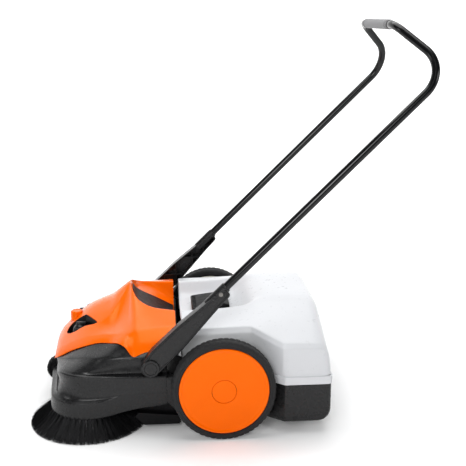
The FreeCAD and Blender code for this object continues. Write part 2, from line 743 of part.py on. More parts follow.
def arm():
    points = [Vector(x, 0, z) for x, z in arm_outline()]
    face = face_of(points)
    if face.normalAt(0, 0).y < 0:
        face.reverse()
    outer = face.extrude(Vector(0, ARM_OUT - ARM_IN, 0))
    pocket = face.makeOffset2D(-WALL).extrude(Vector(0, ARM_OUT - ARM_IN - WALL, 0))
    shell = outer.cut(pocket)
    shell.translate(Vector(0, ARM_IN, 0))
    frame = outer.copy()
    frame.translate(Vector(0, ARM_IN, 0))
    ribs = []
    crossings = ((60, 333, 0), (110, 277, 20), (155, 238, 0))
    for x, z, angle in [(x, z, slope + turn) for x, z, slope in crossings for turn in (0, 90)]:
        rib = block(-45, 45, ARM_IN + 2, ARM_OUT - 1, -1.25, 1.25)
        rib.rotate(Vector(0, 0, 0), Y_AXIS, angle)
        rib.translate(Vector(x, 0, z))
        ribs.append(rib.common(frame))
    start = tube_axis(-14, TUBE_Y)
    direction = tube_axis(1, TUBE_Y) - tube_axis(0, TUBE_Y)
    socket = Part.makeCylinder(TUBE_R + 3.2, 72, start, direction)
    boss = rod_y(PIVOT_X, PIVOT_Z, ARM_IN, ARM_OUT, 16)
    body = fused([shell] + ribs + [socket, boss])
    body = body.cut(Part.makeCylinder(TUBE_R + RUN, 90, tube_axis(0, TUBE_Y), direction))
    body = body.cut(rod_y(PIVOT_X, PIVOT_Z, ARM_IN - 1, ARM_OUT - 0.5, 10 + RUN))
    screw = tube_axis(SCREW_AT, 0)
    return body.cut(rod_y(screw.x, screw.z, TUBE_Y + TUBE_R, ARM_OUT + 8, SCREW_R))


def pivot_cap():
    profile = [(0, ARM_OUT), (24, ARM_OUT), (24, ARM_OUT + 3), (21, ARM_OUT + 5), (0, ARM_OUT + 5)]
    return turned_y(profile, PIVOT_X, PIVOT_Z)


def handle_tube():
    points = [
        Vector(TUBE_START[0], TUBE_Y, TUBE_START[1]), Vector(TUBE_BEND[0], TUBE_Y, TUBE_BEND[1]),
        Vector(GRIP_X, GRIP_CORNER_Y, GRIP_Z), Vector(GRIP_X, 0.3, GRIP_Z),
    ]
    path = rounded_path(points, [BEND_R, GRIP_BEND_R])
    return swept(path, TUBE_R).cut(swept(path, TUBE_R - 1.8))


def grip_sleeve():
    return ring_y(GRIP_X, GRIP_Z, -GRIP_HALF, GRIP_HALF, GRIP_R, TUBE_R + RUN)


def arm_screws():
    place = tube_axis(SCREW_AT, 0)
    shank = rod_y(place.x, place.z, TUBE_Y + TUBE_R + 0.5, ARM_OUT, SCREW_R)
    head = rod_y(place.x, place.z, ARM_OUT, ARM_OUT + 2.5, 5.5)
    return both(fused([shank, head]))


# ---- hopper -------------------------------------------------------------------------------
def hopper_sections(inset):
    """Half sections of the white shell: bottom, side, shoulder, rim, valley or crown."""
    table = (
        (108, 246, 164, 276, (136, 297), (104, 252)),
        (0, 246, 164, 277, (140, 299), (104, 252)),
        (-60, 246, 164, 279, (140, 306), (100, 252)),
        (-82, 249, 164, 279, (139, 311), (90, 284)),
        (-96, 265, 164, 276, (138, 314), (86, 302)),
        (-130, 301, 164, 267, (138, 317), (80, 320)),
        (-167, 330, 164, 256, (138, 318), (80, 321)),
        (-240, 330, 164, 257, (138, 315), (80, 318)),
        (-268, 330, 164, 254, (138, 307), (80, 310)),
        (-286, 329, 164, 240, (138, 290), (80, 292)),
        (-294, 325, 164, 214, (138, 255), (80, 257)),
        (-297, 322, 164, 180, (138, 200), (80, 200)),
    )
    sections = []
    for x, side, low, shoulder, rim_point, inner in table:
        half = [(0, low), (side, low), (side, shoulder), rim_point, inner, (0, inner[1])]
        if inset:
            half = [(0, low - 5), (side - inset, low - 5), (side - inset, shoulder - inset)]
            half += [(rim_point[0] + inset * 0.3, rim_point[1] - inset * 1.2), (inner[0], inner[1] - inset)]
            half += [(0, inner[1] - inset)]
            x = x + inset if x < -270 else x
            x = x - inset if x > 100 else x
        sections.append((x, half))
    return sections


def bin_outline(inset):
    front_x = -78 - inset
    rear_x = -294 + inset
    half = [
        (front_x, 0), (front_x, 246 - inset), (front_x - 6, 250 - inset), (-130 - inset * 0.4, 299 - inset),
        (-168 - inset * 0.2, 330 - inset), (-282, 330 - inset), (rear_x, 320 - inset), (rear_x, 0),
    ]
    return both_sides(half)


def hopper_shell():
    skin = skin_x(hopper_sections(0)).cut(skin_x(hopper_sections(WALL)))
    front_floor = block(-75, 106, -244, 244, HOPPER_FLOOR_Z, HOPPER_FLOOR_Z + 3)
    band = prism_z(bin_outline(-3), SEAM_Z, HOPPER_FLOOR_Z + 3)
    band = band.cut(prism_z(bin_outline(WALL), SEAM_Z - 1, HOPPER_FLOOR_Z + 4))
    return fused([skin, front_floor, band])


def bin_levels(wall, top_z):
    """Levels of the black bin, whose lower rear edge is drawn in."""
    def drawn_in(inset, forward, narrower):
        return [(x + (forward if x < -250 else 0), y * narrower) for x, y in bin_outline(inset)]

    return [
        (HOPPER_BASE_Z + wall, drawn_in(4 + wall, 26, 0.985)),
        (HOPPER_BASE_Z + 14 + wall * 0.7, drawn_in(1 + wall, 8, 1)),
        (HOPPER_BASE_Z + 36, bin_outline(wall)),
        (top_z, bin_outline(wall)),
    ]


def hopper_bin():
    outer = skin_z(bin_levels(0, SEAM_Z - 0.3))
    inner = skin_z(bin_levels(WALL, SEAM_Z))
    mouth = block(-90, -70, -236, 236, 62, SEAM_Z - 6)
    return outer.cut(inner).cut(mouth)


def hopper_handle():
    """Bail in the hopper's valley: two arms under a top panel, a grip in front and the hinge pin behind."""
    top = [(-38, 284), (-22, 290), (10, 284), (74, 276)]
    arms = [prism_y([(x, z - WALL) for x, z in reversed(top)] + top, -64, 64)]
    for y in (-64, 54):
        arms.append(prism_y(top + [(74, 262), (10, 262), (-38, 258)], y, y + 10))
    grip = rod_y(66, 269, -60, 60, 8)
    pin = rod_y(-30, 268, -76, 76, 5)
    return fused(arms + [grip, pin])


def hopper_hinges():
    return both(block(-42, -18, 68, 76, 252, 280).cut(rod_y(-30, 268, 60, 80, 5 + RUN)))


# ---- hand-in ------------------------------------------------------------------------------
def pair(name, shape):
    return {"left_" + name: shape, "right_" + name: mirrored(shape)}


def all_nodes():
    nodes = {}
    nodes["chassis_frame"] = chassis_frame()
    nodes["front_shroud"] = front_shroud()
    nodes["hood"] = hood()
    nodes["hood_recess_liner"] = recess_liner()
    nodes.update(pair("side_cover", side_cover()))
    nodes["side_skids"] = both(side_skid())
    nodes["wheel_axles"] = both(axle())
    nodes["pivot_pins"] = both(pivot_pin())
    nodes.update(pair("drive_belt", belt()))
    nodes["roller_bearings"] = roller_bearings()
    nodes["spindle_bushes"] = spindle_bushes()
    nodes["lay_shaft_bearings"] = lay_shaft_bearings()
    nodes["front_dirt_lip"] = dirt_lip()
    nodes["front_bracket"] = front_bracket()
    nodes.update(pair("tyre", tyre()))
    nodes.update(pair("rim", rim()))
    nodes.update(pair("ring_gear", ring_gear()))
    nodes.update(pair("wheel_disc", wheel_disc()))
    nodes.update(pair("hub_cap", hub_cap()))
    nodes["roller_shaft"] = roller_shaft()
    nodes["roller_core"] = roller_core()
    nodes["roller_bristles"] = roller_bristles()
    nodes["roller_pulleys"] = roller_pulleys()
    nodes["left_pinion"] = pinion(SHAFT_R)
    nodes["right_pinion"] = mirrored(pinion(SHAFT_R + RUN))
    nodes.update(pair("lay_shaft", lay_shaft()))
    nodes.update(pair("bevel_pinion", bevel_pinion()))
    nodes.update(pair("brush_spindle", brush_spindle()))
    nodes.update(pair("crown_gear", crown_gear()))
    nodes.update(pair("brush_plate", brush_plate()))
    nodes.update(pair("disc_bristles", disc_bristles()))
    nodes.update(pair("arm", arm()))
    nodes.update(pair("handle_tube", handle_tube()))
    nodes["pivot_caps"] = both(pivot_cap())
    nodes["grip_sleeve"] = grip_sleeve()
    nodes["arm_screws"] = arm_screws()
    nodes["hopper_shell"] = hopper_shell()
    nodes["hopper_bin"] = hopper_bin()
    nodes["hopper_hinges"] = hopper_hinges()
    nodes["hopper_handle"] = hopper_handle()
    nodes["height_knob"] = height_knob()
    nodes["support_fork"] = support_fork()
    nodes["support_roller"] = support_roller()
    nodes["left_brush_lever"] = brush_lever(1)
    nodes["right_brush_lever"] = brush_lever(-1)
    return nodes


def main():
    nodes = all_nodes()
    rear_x = nodes["left_handle_tube"].BoundBox.XMin
    axle_x = -(FRONT_X + rear_x) / 2
    os.makedirs("parts", exist_ok=True)
    for name, shape in nodes.items():
        shape.translate(Vector(axle_x, 0, 0))
        shape.exportStep("parts/" + name + ".step")
    print("nodes", len(nodes), "axle x", round(axle_x, 3))


main()
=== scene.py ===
import json
import math
import random

import bmesh
import bpy
from mathutils import Matrix, Vector


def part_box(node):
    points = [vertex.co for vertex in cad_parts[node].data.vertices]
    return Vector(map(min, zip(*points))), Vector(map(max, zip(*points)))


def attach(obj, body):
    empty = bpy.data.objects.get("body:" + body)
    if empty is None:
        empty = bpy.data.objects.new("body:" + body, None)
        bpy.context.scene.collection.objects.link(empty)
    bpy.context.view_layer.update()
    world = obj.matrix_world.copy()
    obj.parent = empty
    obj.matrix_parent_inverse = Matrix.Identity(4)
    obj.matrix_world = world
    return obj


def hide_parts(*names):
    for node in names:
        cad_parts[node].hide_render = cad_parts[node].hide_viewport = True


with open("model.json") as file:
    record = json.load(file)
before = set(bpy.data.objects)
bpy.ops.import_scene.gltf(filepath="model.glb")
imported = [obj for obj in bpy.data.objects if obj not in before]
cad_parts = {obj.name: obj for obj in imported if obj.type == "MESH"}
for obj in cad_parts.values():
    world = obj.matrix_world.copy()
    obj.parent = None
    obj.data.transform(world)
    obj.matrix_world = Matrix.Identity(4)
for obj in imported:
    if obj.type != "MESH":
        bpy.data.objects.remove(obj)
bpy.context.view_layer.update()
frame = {"nodes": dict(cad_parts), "record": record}

# Pieces are drawn in millimetres from the point on the floor under the wheel axle:
# x ahead, y to the operator's left, z up. The wheel's box in the frame gives that point.
MM = 0.001
TYRE_LOW, TYRE_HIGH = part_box("left_tyre")
AXLE_X = (TYRE_LOW.x + TYRE_HIGH.x) / 2 / MM
WHEEL_R = (TYRE_HIGH.z - TYRE_LOW.z) / 2 / MM
WHEEL_IN = TYRE_LOW.y / MM
WHEEL_OUT = TYRE_HIGH.y / MM
SIDES = (("left", 1), ("right", -1))     # the machine's sides and their sign along y


def at(x, y, z):
    return Vector(((AXLE_X + x) * MM, y * MM, z * MM))


def centre_of(node):
    """Middle of a CAD node's box, in this script's millimetres."""
    low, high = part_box(node)
    middle = (low + high) / 2 / MM
    return Vector((middle.x - AXLE_X, middle.y, middle.z))


def clamped(share):
    return max(0.0, min(1.0, share))


# ---- materials ------------------------------------------------------------------------------
MATERIALS = {}
NOISE_LOW, NOISE_HIGH = 0.35, 0.65       # nearly all of a noise texture lies between these


class Surface:
    """A Principled material with noise in the object's own coordinates led into its sockets."""

    def __init__(self, name):
        material = bpy.data.materials.new(name)
        material.use_nodes = True
        MATERIALS[name] = material
        self.tree = material.node_tree
        self.inputs = self.tree.nodes["Principled BSDF"].inputs
        self.place = self.node("ShaderNodeTexCoord").outputs["Object"]

    def node(self, kind, values=None, **sources):
        """A node with numbers set on some of its inputs and other nodes led into others."""
        made = self.tree.nodes.new(kind)
        for socket, value in (values or {}).items():
            made.inputs[socket].default_value = value
        for socket, source in sources.items():
            self.tree.links.new(source, made.inputs[socket])
        return made

    def lead(self, output, socket):
        self.tree.links.new(output, self.inputs[socket])

    def noise(self, size, detail=3.0, roughness=0.55, place=None):
        """Noise whose spots are about size millimetres across."""
        values = {"Scale": 1 / (size * MM), "Detail": detail, "Roughness": roughness}
        place = self.place if place is None else place
        return self.node("ShaderNodeTexNoise", values, Vector=place).outputs["Fac"]

    def colour(self, noise, dark, light):
        """Noise as the base colour, from dark to light."""
        ramp = self.node("ShaderNodeValToRGB", Fac=noise)
        for element, position, tone in zip(ramp.color_ramp.elements, (0.36, 0.64), (dark, light)):
            element.position = position
            element.color = (*tone, 1)
        self.lead(ramp.outputs["Color"], "Base Color")

    def roughness(self, noise, low, high):
        """Noise as a roughness from low to high."""
        values = {"From Min": NOISE_LOW, "From Max": NOISE_HIGH, "To Min": low, "To Max": high}
        self.lead(self.node("ShaderNodeMapRange", values, Value=noise).outputs["Result"], "Roughness")

    def bump(self, *layers):
        """Layers of (height, strength, depth in millimetres) as the normal."""
        below = {}
        for height, strength, depth in layers:
            values = {"Strength": strength, "Distance": depth * MM}
            made = self.node("ShaderNodeBump", values, Height=height, **below)
            below = {"Normal": made.outputs["Normal"]}
        self.lead(below["Normal"], "Normal")


def shade(colour, factor):
    return tuple(min(1.0, channel * factor) for channel in colour)


def plastic(name, colour, roughness, mottle=0.05, grain_depth=0.05, wave=0.05, specular=0.5, tint=(1, 1, 1)):
    """Moulded plastic: a fine spark-eroded grain, faint flow marks and slightly uneven gloss."""
    skin = Surface(name)
    skin.colour(skin.noise(70, 4), shade(colour, 1 - mottle), shade(colour, 1 + mottle))
    skin.roughness(skin.noise(14, 5), roughness - 0.05, roughness + 0.06)
    skin.bump((skin.noise(45, 2), 0.35, wave), (skin.noise(0.9, 2), 0.6, grain_depth))
    skin.inputs["Specular IOR Level"].default_value = specular
    skin.inputs["Specular Tint"].default_value = (*tint, 1)


def rubber(name, colour, roughness=0.72):
    """Matt rubber with a dusty bloom and a pitted skin."""
    skin = Surface(name)
    bloom = skin.noise(26, 6, 0.65)
    skin.colour(bloom, shade(colour, 0.8), shade(colour, 1.7))
    skin.roughness(bloom, roughness - 0.08, roughness + 0.1)
    skin.bump((skin.noise(0.8, 3), 0.7, 0.08))
    skin.inputs["Specular IOR Level"].default_value = 0.35


def fibre(name, dark, light):
    """Extruded fibre: each stretch of the brush a little lighter or darker, with a dull gloss."""
    skin = Surface(name)
    strands = skin.noise(3.0, 4, 0.7)
    skin.colour(strands, dark, light)
    skin.roughness(strands, 0.34, 0.55)
    skin.inputs["Specular IOR Level"].default_value = 0.3


def metal(name, colour, roughness):
    """Drawn steel: fine scratches along Y over a slightly cloudy surface."""
    skin = Surface(name)
    stretch = skin.node("ShaderNodeMapping", {"Scale": (1.0, 0.06, 1.0)}, Vector=skin.place)
    scratches = skin.noise(0.5, place=stretch.outputs["Vector"])
    skin.colour(skin.noise(12, 4), shade(colour, 0.85), shade(colour, 1.1))
    skin.roughness(scratches, roughness - 0.07, roughness + 0.12)
    skin.bump((scratches, 0.3, 0.02))
    skin.inputs["Metallic"].default_value = 1.0


def foam(name, colour):
    """Closed-cell foam grip with a soft, faintly speckled skin."""
    skin = Surface(name)
    speckle = skin.noise(1.4, 4, 0.7)
    skin.colour(speckle, shade(colour, 0.86), shade(colour, 1.1))
    skin.roughness(speckle, 0.58, 0.78)
    skin.bump((speckle, 0.6, 0.12))
    skin.inputs["Sheen Weight"].default_value = 0.15


plastic("orange_plastic", (0.93, 0.128, 0.0006), 0.20, mottle=0.015, grain_depth=0.008, specular=0.42,
        tint=(1.0, 0.50, 0.16))
plastic("white_plastic", (0.62, 0.63, 0.65), 0.32, mottle=0.006, grain_depth=0.0005, wave=0.015,
        specular=0.35)
plastic("dark_grey_plastic", (0.0105, 0.0105, 0.011), 0.28, grain_depth=0.003, wave=0.02, specular=0.30)
plastic("black_plastic", (0.004, 0.004, 0.0045), 0.42, mottle=0.15, grain_depth=0.08, specular=0.12)
rubber("tyre_rubber", (0.009, 0.009, 0.0095))
rubber("belt_rubber", (0.015, 0.015, 0.015), 0.8)
fibre("bristle", (0.0015, 0.0015, 0.0015), (0.016, 0.016, 0.018))
metal("steel", (0.20, 0.19, 0.18), 0.42)
plastic("gear_plastic", (0.62, 0.60, 0.52), 0.4, grain_depth=0.03)
plastic("bearing_plastic", (0.25, 0.25, 0.26), 0.35, grain_depth=0.03)
plastic("black_tube", (0.002, 0.002, 0.0025), 0.11, mottle=0.1, grain_depth=0.001, wave=0.0, specular=0.35)
foam("grey_grip", (0.125, 0.125, 0.13))


def paint_frame():
    """Gives every CAD node the material that its record row names."""
    for row in frame["record"]["subparts"]:
        data = frame["nodes"][row["node"]].data
        data.materials.clear()
        data.materials.append(MATERIALS[row["material_slot"]])


# ---- mesh tools -----------------------------------------------------------------------------
def linked(name, mesh):
    piece = bpy.data.objects.new(name, mesh)
    bpy.context.scene.collection.objects.link(piece)
    return piece


def from_faces(name, points, faces):
    mesh = bpy.data.meshes.new(name)
    mesh.from_pydata(points, [], faces)
    return linked(name, mesh)


def from_work(name, work):
    """The piece that an edit mesh holds; the edit mesh is given up."""
    mesh = bpy.data.meshes.new(name)
    work.to_mesh(mesh)
    work.free()
    return linked(name, mesh)


def cleaned(piece):
    """Merges doubled points and turns every face outward."""
    work = bmesh.new()
    work.from_mesh(piece.data)
    bmesh.ops.remove_doubles(work, verts=work.verts, dist=1e-6)
    bmesh.ops.dissolve_degenerate(work, edges=work.edges, dist=1e-7)
    bmesh.ops.recalc_face_normals(work, faces=work.faces)
    work.to_mesh(piece.data)
    work.free()
    return piece


def grid(name, rows, wrap=False, crease=None):
    """Quads through rows of points; wrap joins each row's end to its start.

    crease(row_a, column_a, row_b, column_b) gives the sharpness of the edge between two points."""
    width = len(rows[0])
    faces = []
    for row in range(len(rows) - 1):
        for column in range(width if wrap else width - 1):
            after = (column + 1) % width
            low = row * width
            faces.append((low + column, low + after, low + width + after, low + width + column))
    piece = from_faces(name, [point for row in rows for point in row], faces)
    if crease:
        layer = piece.data.attributes.new("crease_edge", "FLOAT", "EDGE")
        for edge in piece.data.edges:
            (row_a, column_a), (row_b, column_b) = sorted(divmod(index, width) for index in edge.vertices)
            layer.data[edge.index].value = crease(row_a, column_a, row_b, column_b)
    return cleaned(piece)


def creases(width, columns, rows=(), reach=99):
    """Crease rule for a mirrored row: {column: weight} along the body, {row: weight} out of column reach."""
    def weight(row_a, column_a, row_b, column_b):
        near_a = min(column_a, width - 1 - column_a)
        near_b = min(column_b, width - 1 - column_b)
        if row_a != row_b:
            return columns.get(near_a, 0.0) if near_a == near_b else 0.0
        return dict(rows).get(row_a, 0.0) if max(near_a, near_b) <= reach else 0.0
    return weight


def modified(piece, kind, **settings):
    """The piece with one modifier turned into its mesh."""
    made = piece.modifiers.new(kind, kind)
    for setting, value in settings.items():
        setattr(made, setting, value)
    graph = bpy.context.evaluated_depsgraph_get()
    mesh = bpy.data.meshes.new_from_object(piece.evaluated_get(graph), depsgraph=graph)
    piece.modifiers.clear()
    old = piece.data
    piece.data = mesh
    bpy.data.meshes.remove(old)
    return piece


def thickened(piece, wall):
    return modified(piece, "SOLIDIFY", thickness=wall * MM, offset=-1.0, use_even_offset=False)


def smoothed(piece, levels):
    return modified(piece, "SUBSURF", levels=levels, render_levels=levels, boundary_smooth="PRESERVE_CORNERS")


def cut_from(piece, cutter):
    modified(piece, "BOOLEAN", operation="DIFFERENCE", object=cutter, solver="EXACT")
    bpy.data.objects.remove(cutter)
    return piece


def joined(name, pieces):
    """One mesh from several pieces."""
    work = bmesh.new()
    for piece in pieces:
        work.from_mesh(piece.data)
        bpy.data.objects.remove(piece)
    return from_work(name, work)


def mirrored(piece, name):
    """A copy on the other side of the middle plane."""
    mesh = piece.data.copy()
    mesh.transform(Matrix.Scale(-1, 4, Vector((0, 1, 0))))
    mesh.flip_normals()
    return linked(name, mesh)


def finished(piece, slot, body, replaced=(), angle=32):
    """Material, shading and place in the frame."""
    piece.data.materials.clear()
    piece.data.materials.append(MATERIALS[slot])
    piece.data.shade_smooth()
    piece.data.set_sharp_from_angle(angle=math.radians(angle))
    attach(piece, body)
    if replaced:
        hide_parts(*replaced)
    return piece


def both_sides(left, slot, body, node, angle=32):
    """Finishes a left piece and its mirror image, whose names say right where the left ones say left."""
    right = mirrored(left, left.name.replace("left", "right"))
    for side, piece in (("left", left), ("right", right)):
        finished(piece, slot, body.replace("left", side), [node.replace("left", side)], angle)


# ---- outlines and solids --------------------------------------------------------------------
def turns(steps):
    """Angles of a full turn in equal steps."""
    return [2 * math.pi * step / steps for step in range(steps)]


def polar(radius, angle):
    return radius * math.cos(angle), radius * math.sin(angle)


def circle(x, y, radius, steps):
    return [(x + u, y + v) for u, v in (polar(radius, angle) for angle in turns(steps))]


def rectangle(x0, x1, y0, y1):
    return [(x0, y0), (x1, y0), (x1, y1), (x0, y1)]


def filleted(points, radius, closed=True, steps=4):
    """A 2-D outline with its corners rounded; radius is one number or one for each point."""
    radii = radius if isinstance(radius, (list, tuple)) else [radius] * len(points)
    result = []
    for index, point in enumerate(points):
        corner = Vector(point)
        ends = not closed and index in (0, len(points) - 1)
        if ends or radii[index] == 0:
            result.append(corner)
            continue
        before = Vector(points[index - 1]) - corner
        after = Vector(points[(index + 1) % len(points)]) - corner
        turn = math.pi - before.angle(after)
        if turn < 0.02:
            result.append(corner)
            continue
        reach = min(radii[index] * math.tan(turn / 2), before.length * 0.48, after.length * 0.48)
        start = corner + before.normalized() * reach
        end = corner + after.normalized() * reach
        for step in range(steps + 1):
            share = step / steps
            result.append(start * (1 - share) ** 2 + corner * 2 * share * (1 - share) + end * share ** 2)
    return result


def lathe(name, profile, centre, axis="Y", steps=96, sunk=None):
    """Closed profile of (radius, place along the axis) turned about the axis through centre.

    sunk(point, step) tells how far a point of the profile is drawn in at a step of the turn."""
    rows = []
    for point in [*profile, profile[0]]:
        row = []
        for step, angle in enumerate(turns(steps)):
            u, v = polar(point[0] - (sunk(point, step) if sunk else 0), angle)
            row.append(at(centre[0] + u, point[1], centre[2] + v) if axis == "Y"
                       else at(centre[0] + u, centre[1] + v, point[1]))
        rows.append(row)
    return grid(name, rows, wrap=True)


def inset(outline, distance):
    """The outline moved inward; a negative distance moves it outward."""
    area = sum(a[0] * b[1] - b[0] * a[1] for a, b in zip(outline, [*outline[1:], outline[0]]))
    sign = 1 if area > 0 else -1
    result = []
    for index, point in enumerate(outline):
        here = Vector(point)
        into = (here - Vector(outline[index - 1])).normalized()
        out = (Vector(outline[(index + 1) % len(outline)]) - here).normalized()
        normals = [Vector((-run.y, run.x)) * sign for run in (into, out)]
        middle = (normals[0] + normals[1]).normalized()
        result.append(here + middle * distance / max(0.35, middle.dot(normals[0])))
    return result


def stacked(name, levels, axis="Y", ring=False):
    """Closed piece through (place along the axis, outline) levels: flat ends, or last joined to first."""
    work = bmesh.new()
    loops = []
    for along, outline in levels:
        points = [at(u, along, v) if axis == "Y" else at(u, v, along) for u, v in outline]
        loops.append([work.verts.new(point) for point in points])
    for low, high in zip(loops, loops[1:] + (loops[:1] if ring else [])):
        for index, here in enumerate(low):
            after = (index + 1) % len(low)
            work.faces.new((here, low[after], high[after], high[index]))
    if not ring:
        work.faces.new(loops[0])
        work.faces.new(loops[-1])
    return cleaned(from_work(name, work))


def rounding(outline, along, towards, edge, segments):
    """Levels of a rounded edge, from the side wall to the flat end that lies at along."""
    levels = []
    for step in range(segments + 1):
        out, up = polar(edge, math.pi / 2 * step / segments)
        levels.append((along - towards * (edge - up), inset(outline, edge - out)))
    return levels


def slab(name, outline, low, high, axis="Y", edge=1.0, segments=3):
    """Outline of 2-D points, (x, z) along Y or (x, y) along Z, as a plate with rounded edges."""
    outline = [Vector(point) for point in outline]
    if not edge:
        return stacked(name, [(low, outline), (high, outline)], axis)
    bottom = rounding(outline, low, -1, edge, segments)
    return stacked(name, [*reversed(bottom), *rounding(outline, high, 1, edge, segments)], axis)


def around(centre, radius, u, v, sides):
    """Points round a centre, in the plane of two unit vectors."""
    return [at(*(centre + (u * math.cos(angle) + v * math.sin(angle)) * radius)) for angle in turns(sides)]


def tube(name, path, radius, sides=40):
    """Round bar along a list of points, with a frame carried along so that it doesn't twist."""
    rows = [[at(*path[0])] * sides]
    normal = None
    for index, point in enumerate(path):
        ahead = (path[min(index + 1, len(path) - 1)] - path[max(index - 1, 0)]).normalized()
        if normal is None:
            normal = ahead.orthogonal().normalized()
        normal = (normal - ahead * normal.dot(ahead)).normalized()
        rows.append(around(point, radius, normal, ahead.cross(normal), sides))
    rows.append([at(*path[-1])] * sides)
    return grid(name, rows, wrap=True)


def rounded_path(points, radii, steps=30):
    """Points along straight runs joined by true arcs."""
    result = [points[0]]
    for before, corner, after, radius in zip(points, points[1:], points[2:], radii):
        into = (corner - before).normalized()
        out = (after - corner).normalized()
        turn = into.angle(out)
        first = corner - into * radius * math.tan(turn / 2)
        side = (out - into * out.dot(into)).normalized()
        for step in range(steps + 1):
            angle = turn * step / steps
            result.append(first + into * radius * math.sin(angle) + side * radius * (1 - math.cos(angle)))
    result.append(points[-1])
    return result


# ---- wheels ---------------------------------------------------------------------------------
LUGS = 54                # shoulder lugs round a tyre
STEPS_PER_LUG = 6
LUG_DEPTH = 1.7
TYRE_DRAWN_R = 140.0     # radius that the tyre's section is drawn for


def groove_share(phase, start):
    """1 in the middle of the gap between two lugs, 0 over a lug; phase runs from 0 to 1."""
    away = abs((phase % 1.0) - 0.5) * 2
    return clamped((away - start) / 0.2)


def tyre(name):
    """Tyre with staggered shoulder lugs, a moulding step in each wall and a grooved middle."""
    half = [(121.2, 17.4, 0), (123.5, 20.2, 0), (127.0, 20.8, 0), (128.6, 20.0, 0), (130.4, 20.9, 0),
            (133.0, 20.9, 0.05), (135.6, 20.2, 0.5), (137.8, 18.6, 1), (139.2, 16.2, 1), (139.9, 12.5, 1),
            (140.0, 8.0, 1), (139.9, 4.6, 0.2), (138.6, 3.4, 0), (138.5, 1.6, 0)]
    points = [(r, y, g, 0.0) for r, y, g in half] + [(r, -y, g, 0.5) for r, y, g in reversed(half)]
    points += [(119.6, -14.0, 0, 0), (119.6, 14.0, 0, 0)]
    middle = (WHEEL_IN + WHEEL_OUT) / 2
    profile = [(r * WHEEL_R / TYRE_DRAWN_R, middle + y, share, shift) for r, y, share, shift in points]

    def sunk(point, step):
        _, _, share, shift = point
        return LUG_DEPTH * share * groove_share(step / STEPS_PER_LUG + shift, 0.62)

    return lathe(name, profile, (0, 0, WHEEL_R), steps=LUGS * STEPS_PER_LUG, sunk=sunk)


def behind(face, section):
    """Profile from (radius, depth behind the face) points."""
    return [(radius, face - depth) for radius, depth in section]


def wheel_face(name):
    """Dished orange disc with a rolled rim and a fine groove round the hub cap."""
    section = ((33.4, 8), (33.4, 2.0), (34.0, 1.4), (36.0, 1.15), (70, 1.7), (98, 2.4), (106, 2.9),
               (109.5, 2.9), (112.5, 1.9), (114.5, 0.7), (116.5, 0.15), (118.5, 0.4), (120.2, 1.4),
               (120.9, 3.0), (120.9, 5.0), (117.6, 5.0), (117.6, 11.5), (90, 10))
    return lathe(name, behind(WHEEL_OUT, section), (0, 0, WHEEL_R), steps=160)


def hub_cap(name):
    section = ((0, 0.9), (20, 1.0), (30.6, 1.1), (31.8, 1.3), (32.5, 2.2), (32.5, 8), (0, 8))
    return lathe(name, behind(WHEEL_OUT, section), (0, 0, WHEEL_R), steps=120)


def both_wheels():
    for build, slot, node in ((tyre, "tyre_rubber", "left_tyre"),
                              (wheel_face, "orange_plastic", "left_wheel_disc"),
                              (hub_cap, "orange_plastic", "left_hub_cap")):
        both_sides(build(node + "_visual"), slot, "left_wheel", node, angle=40)


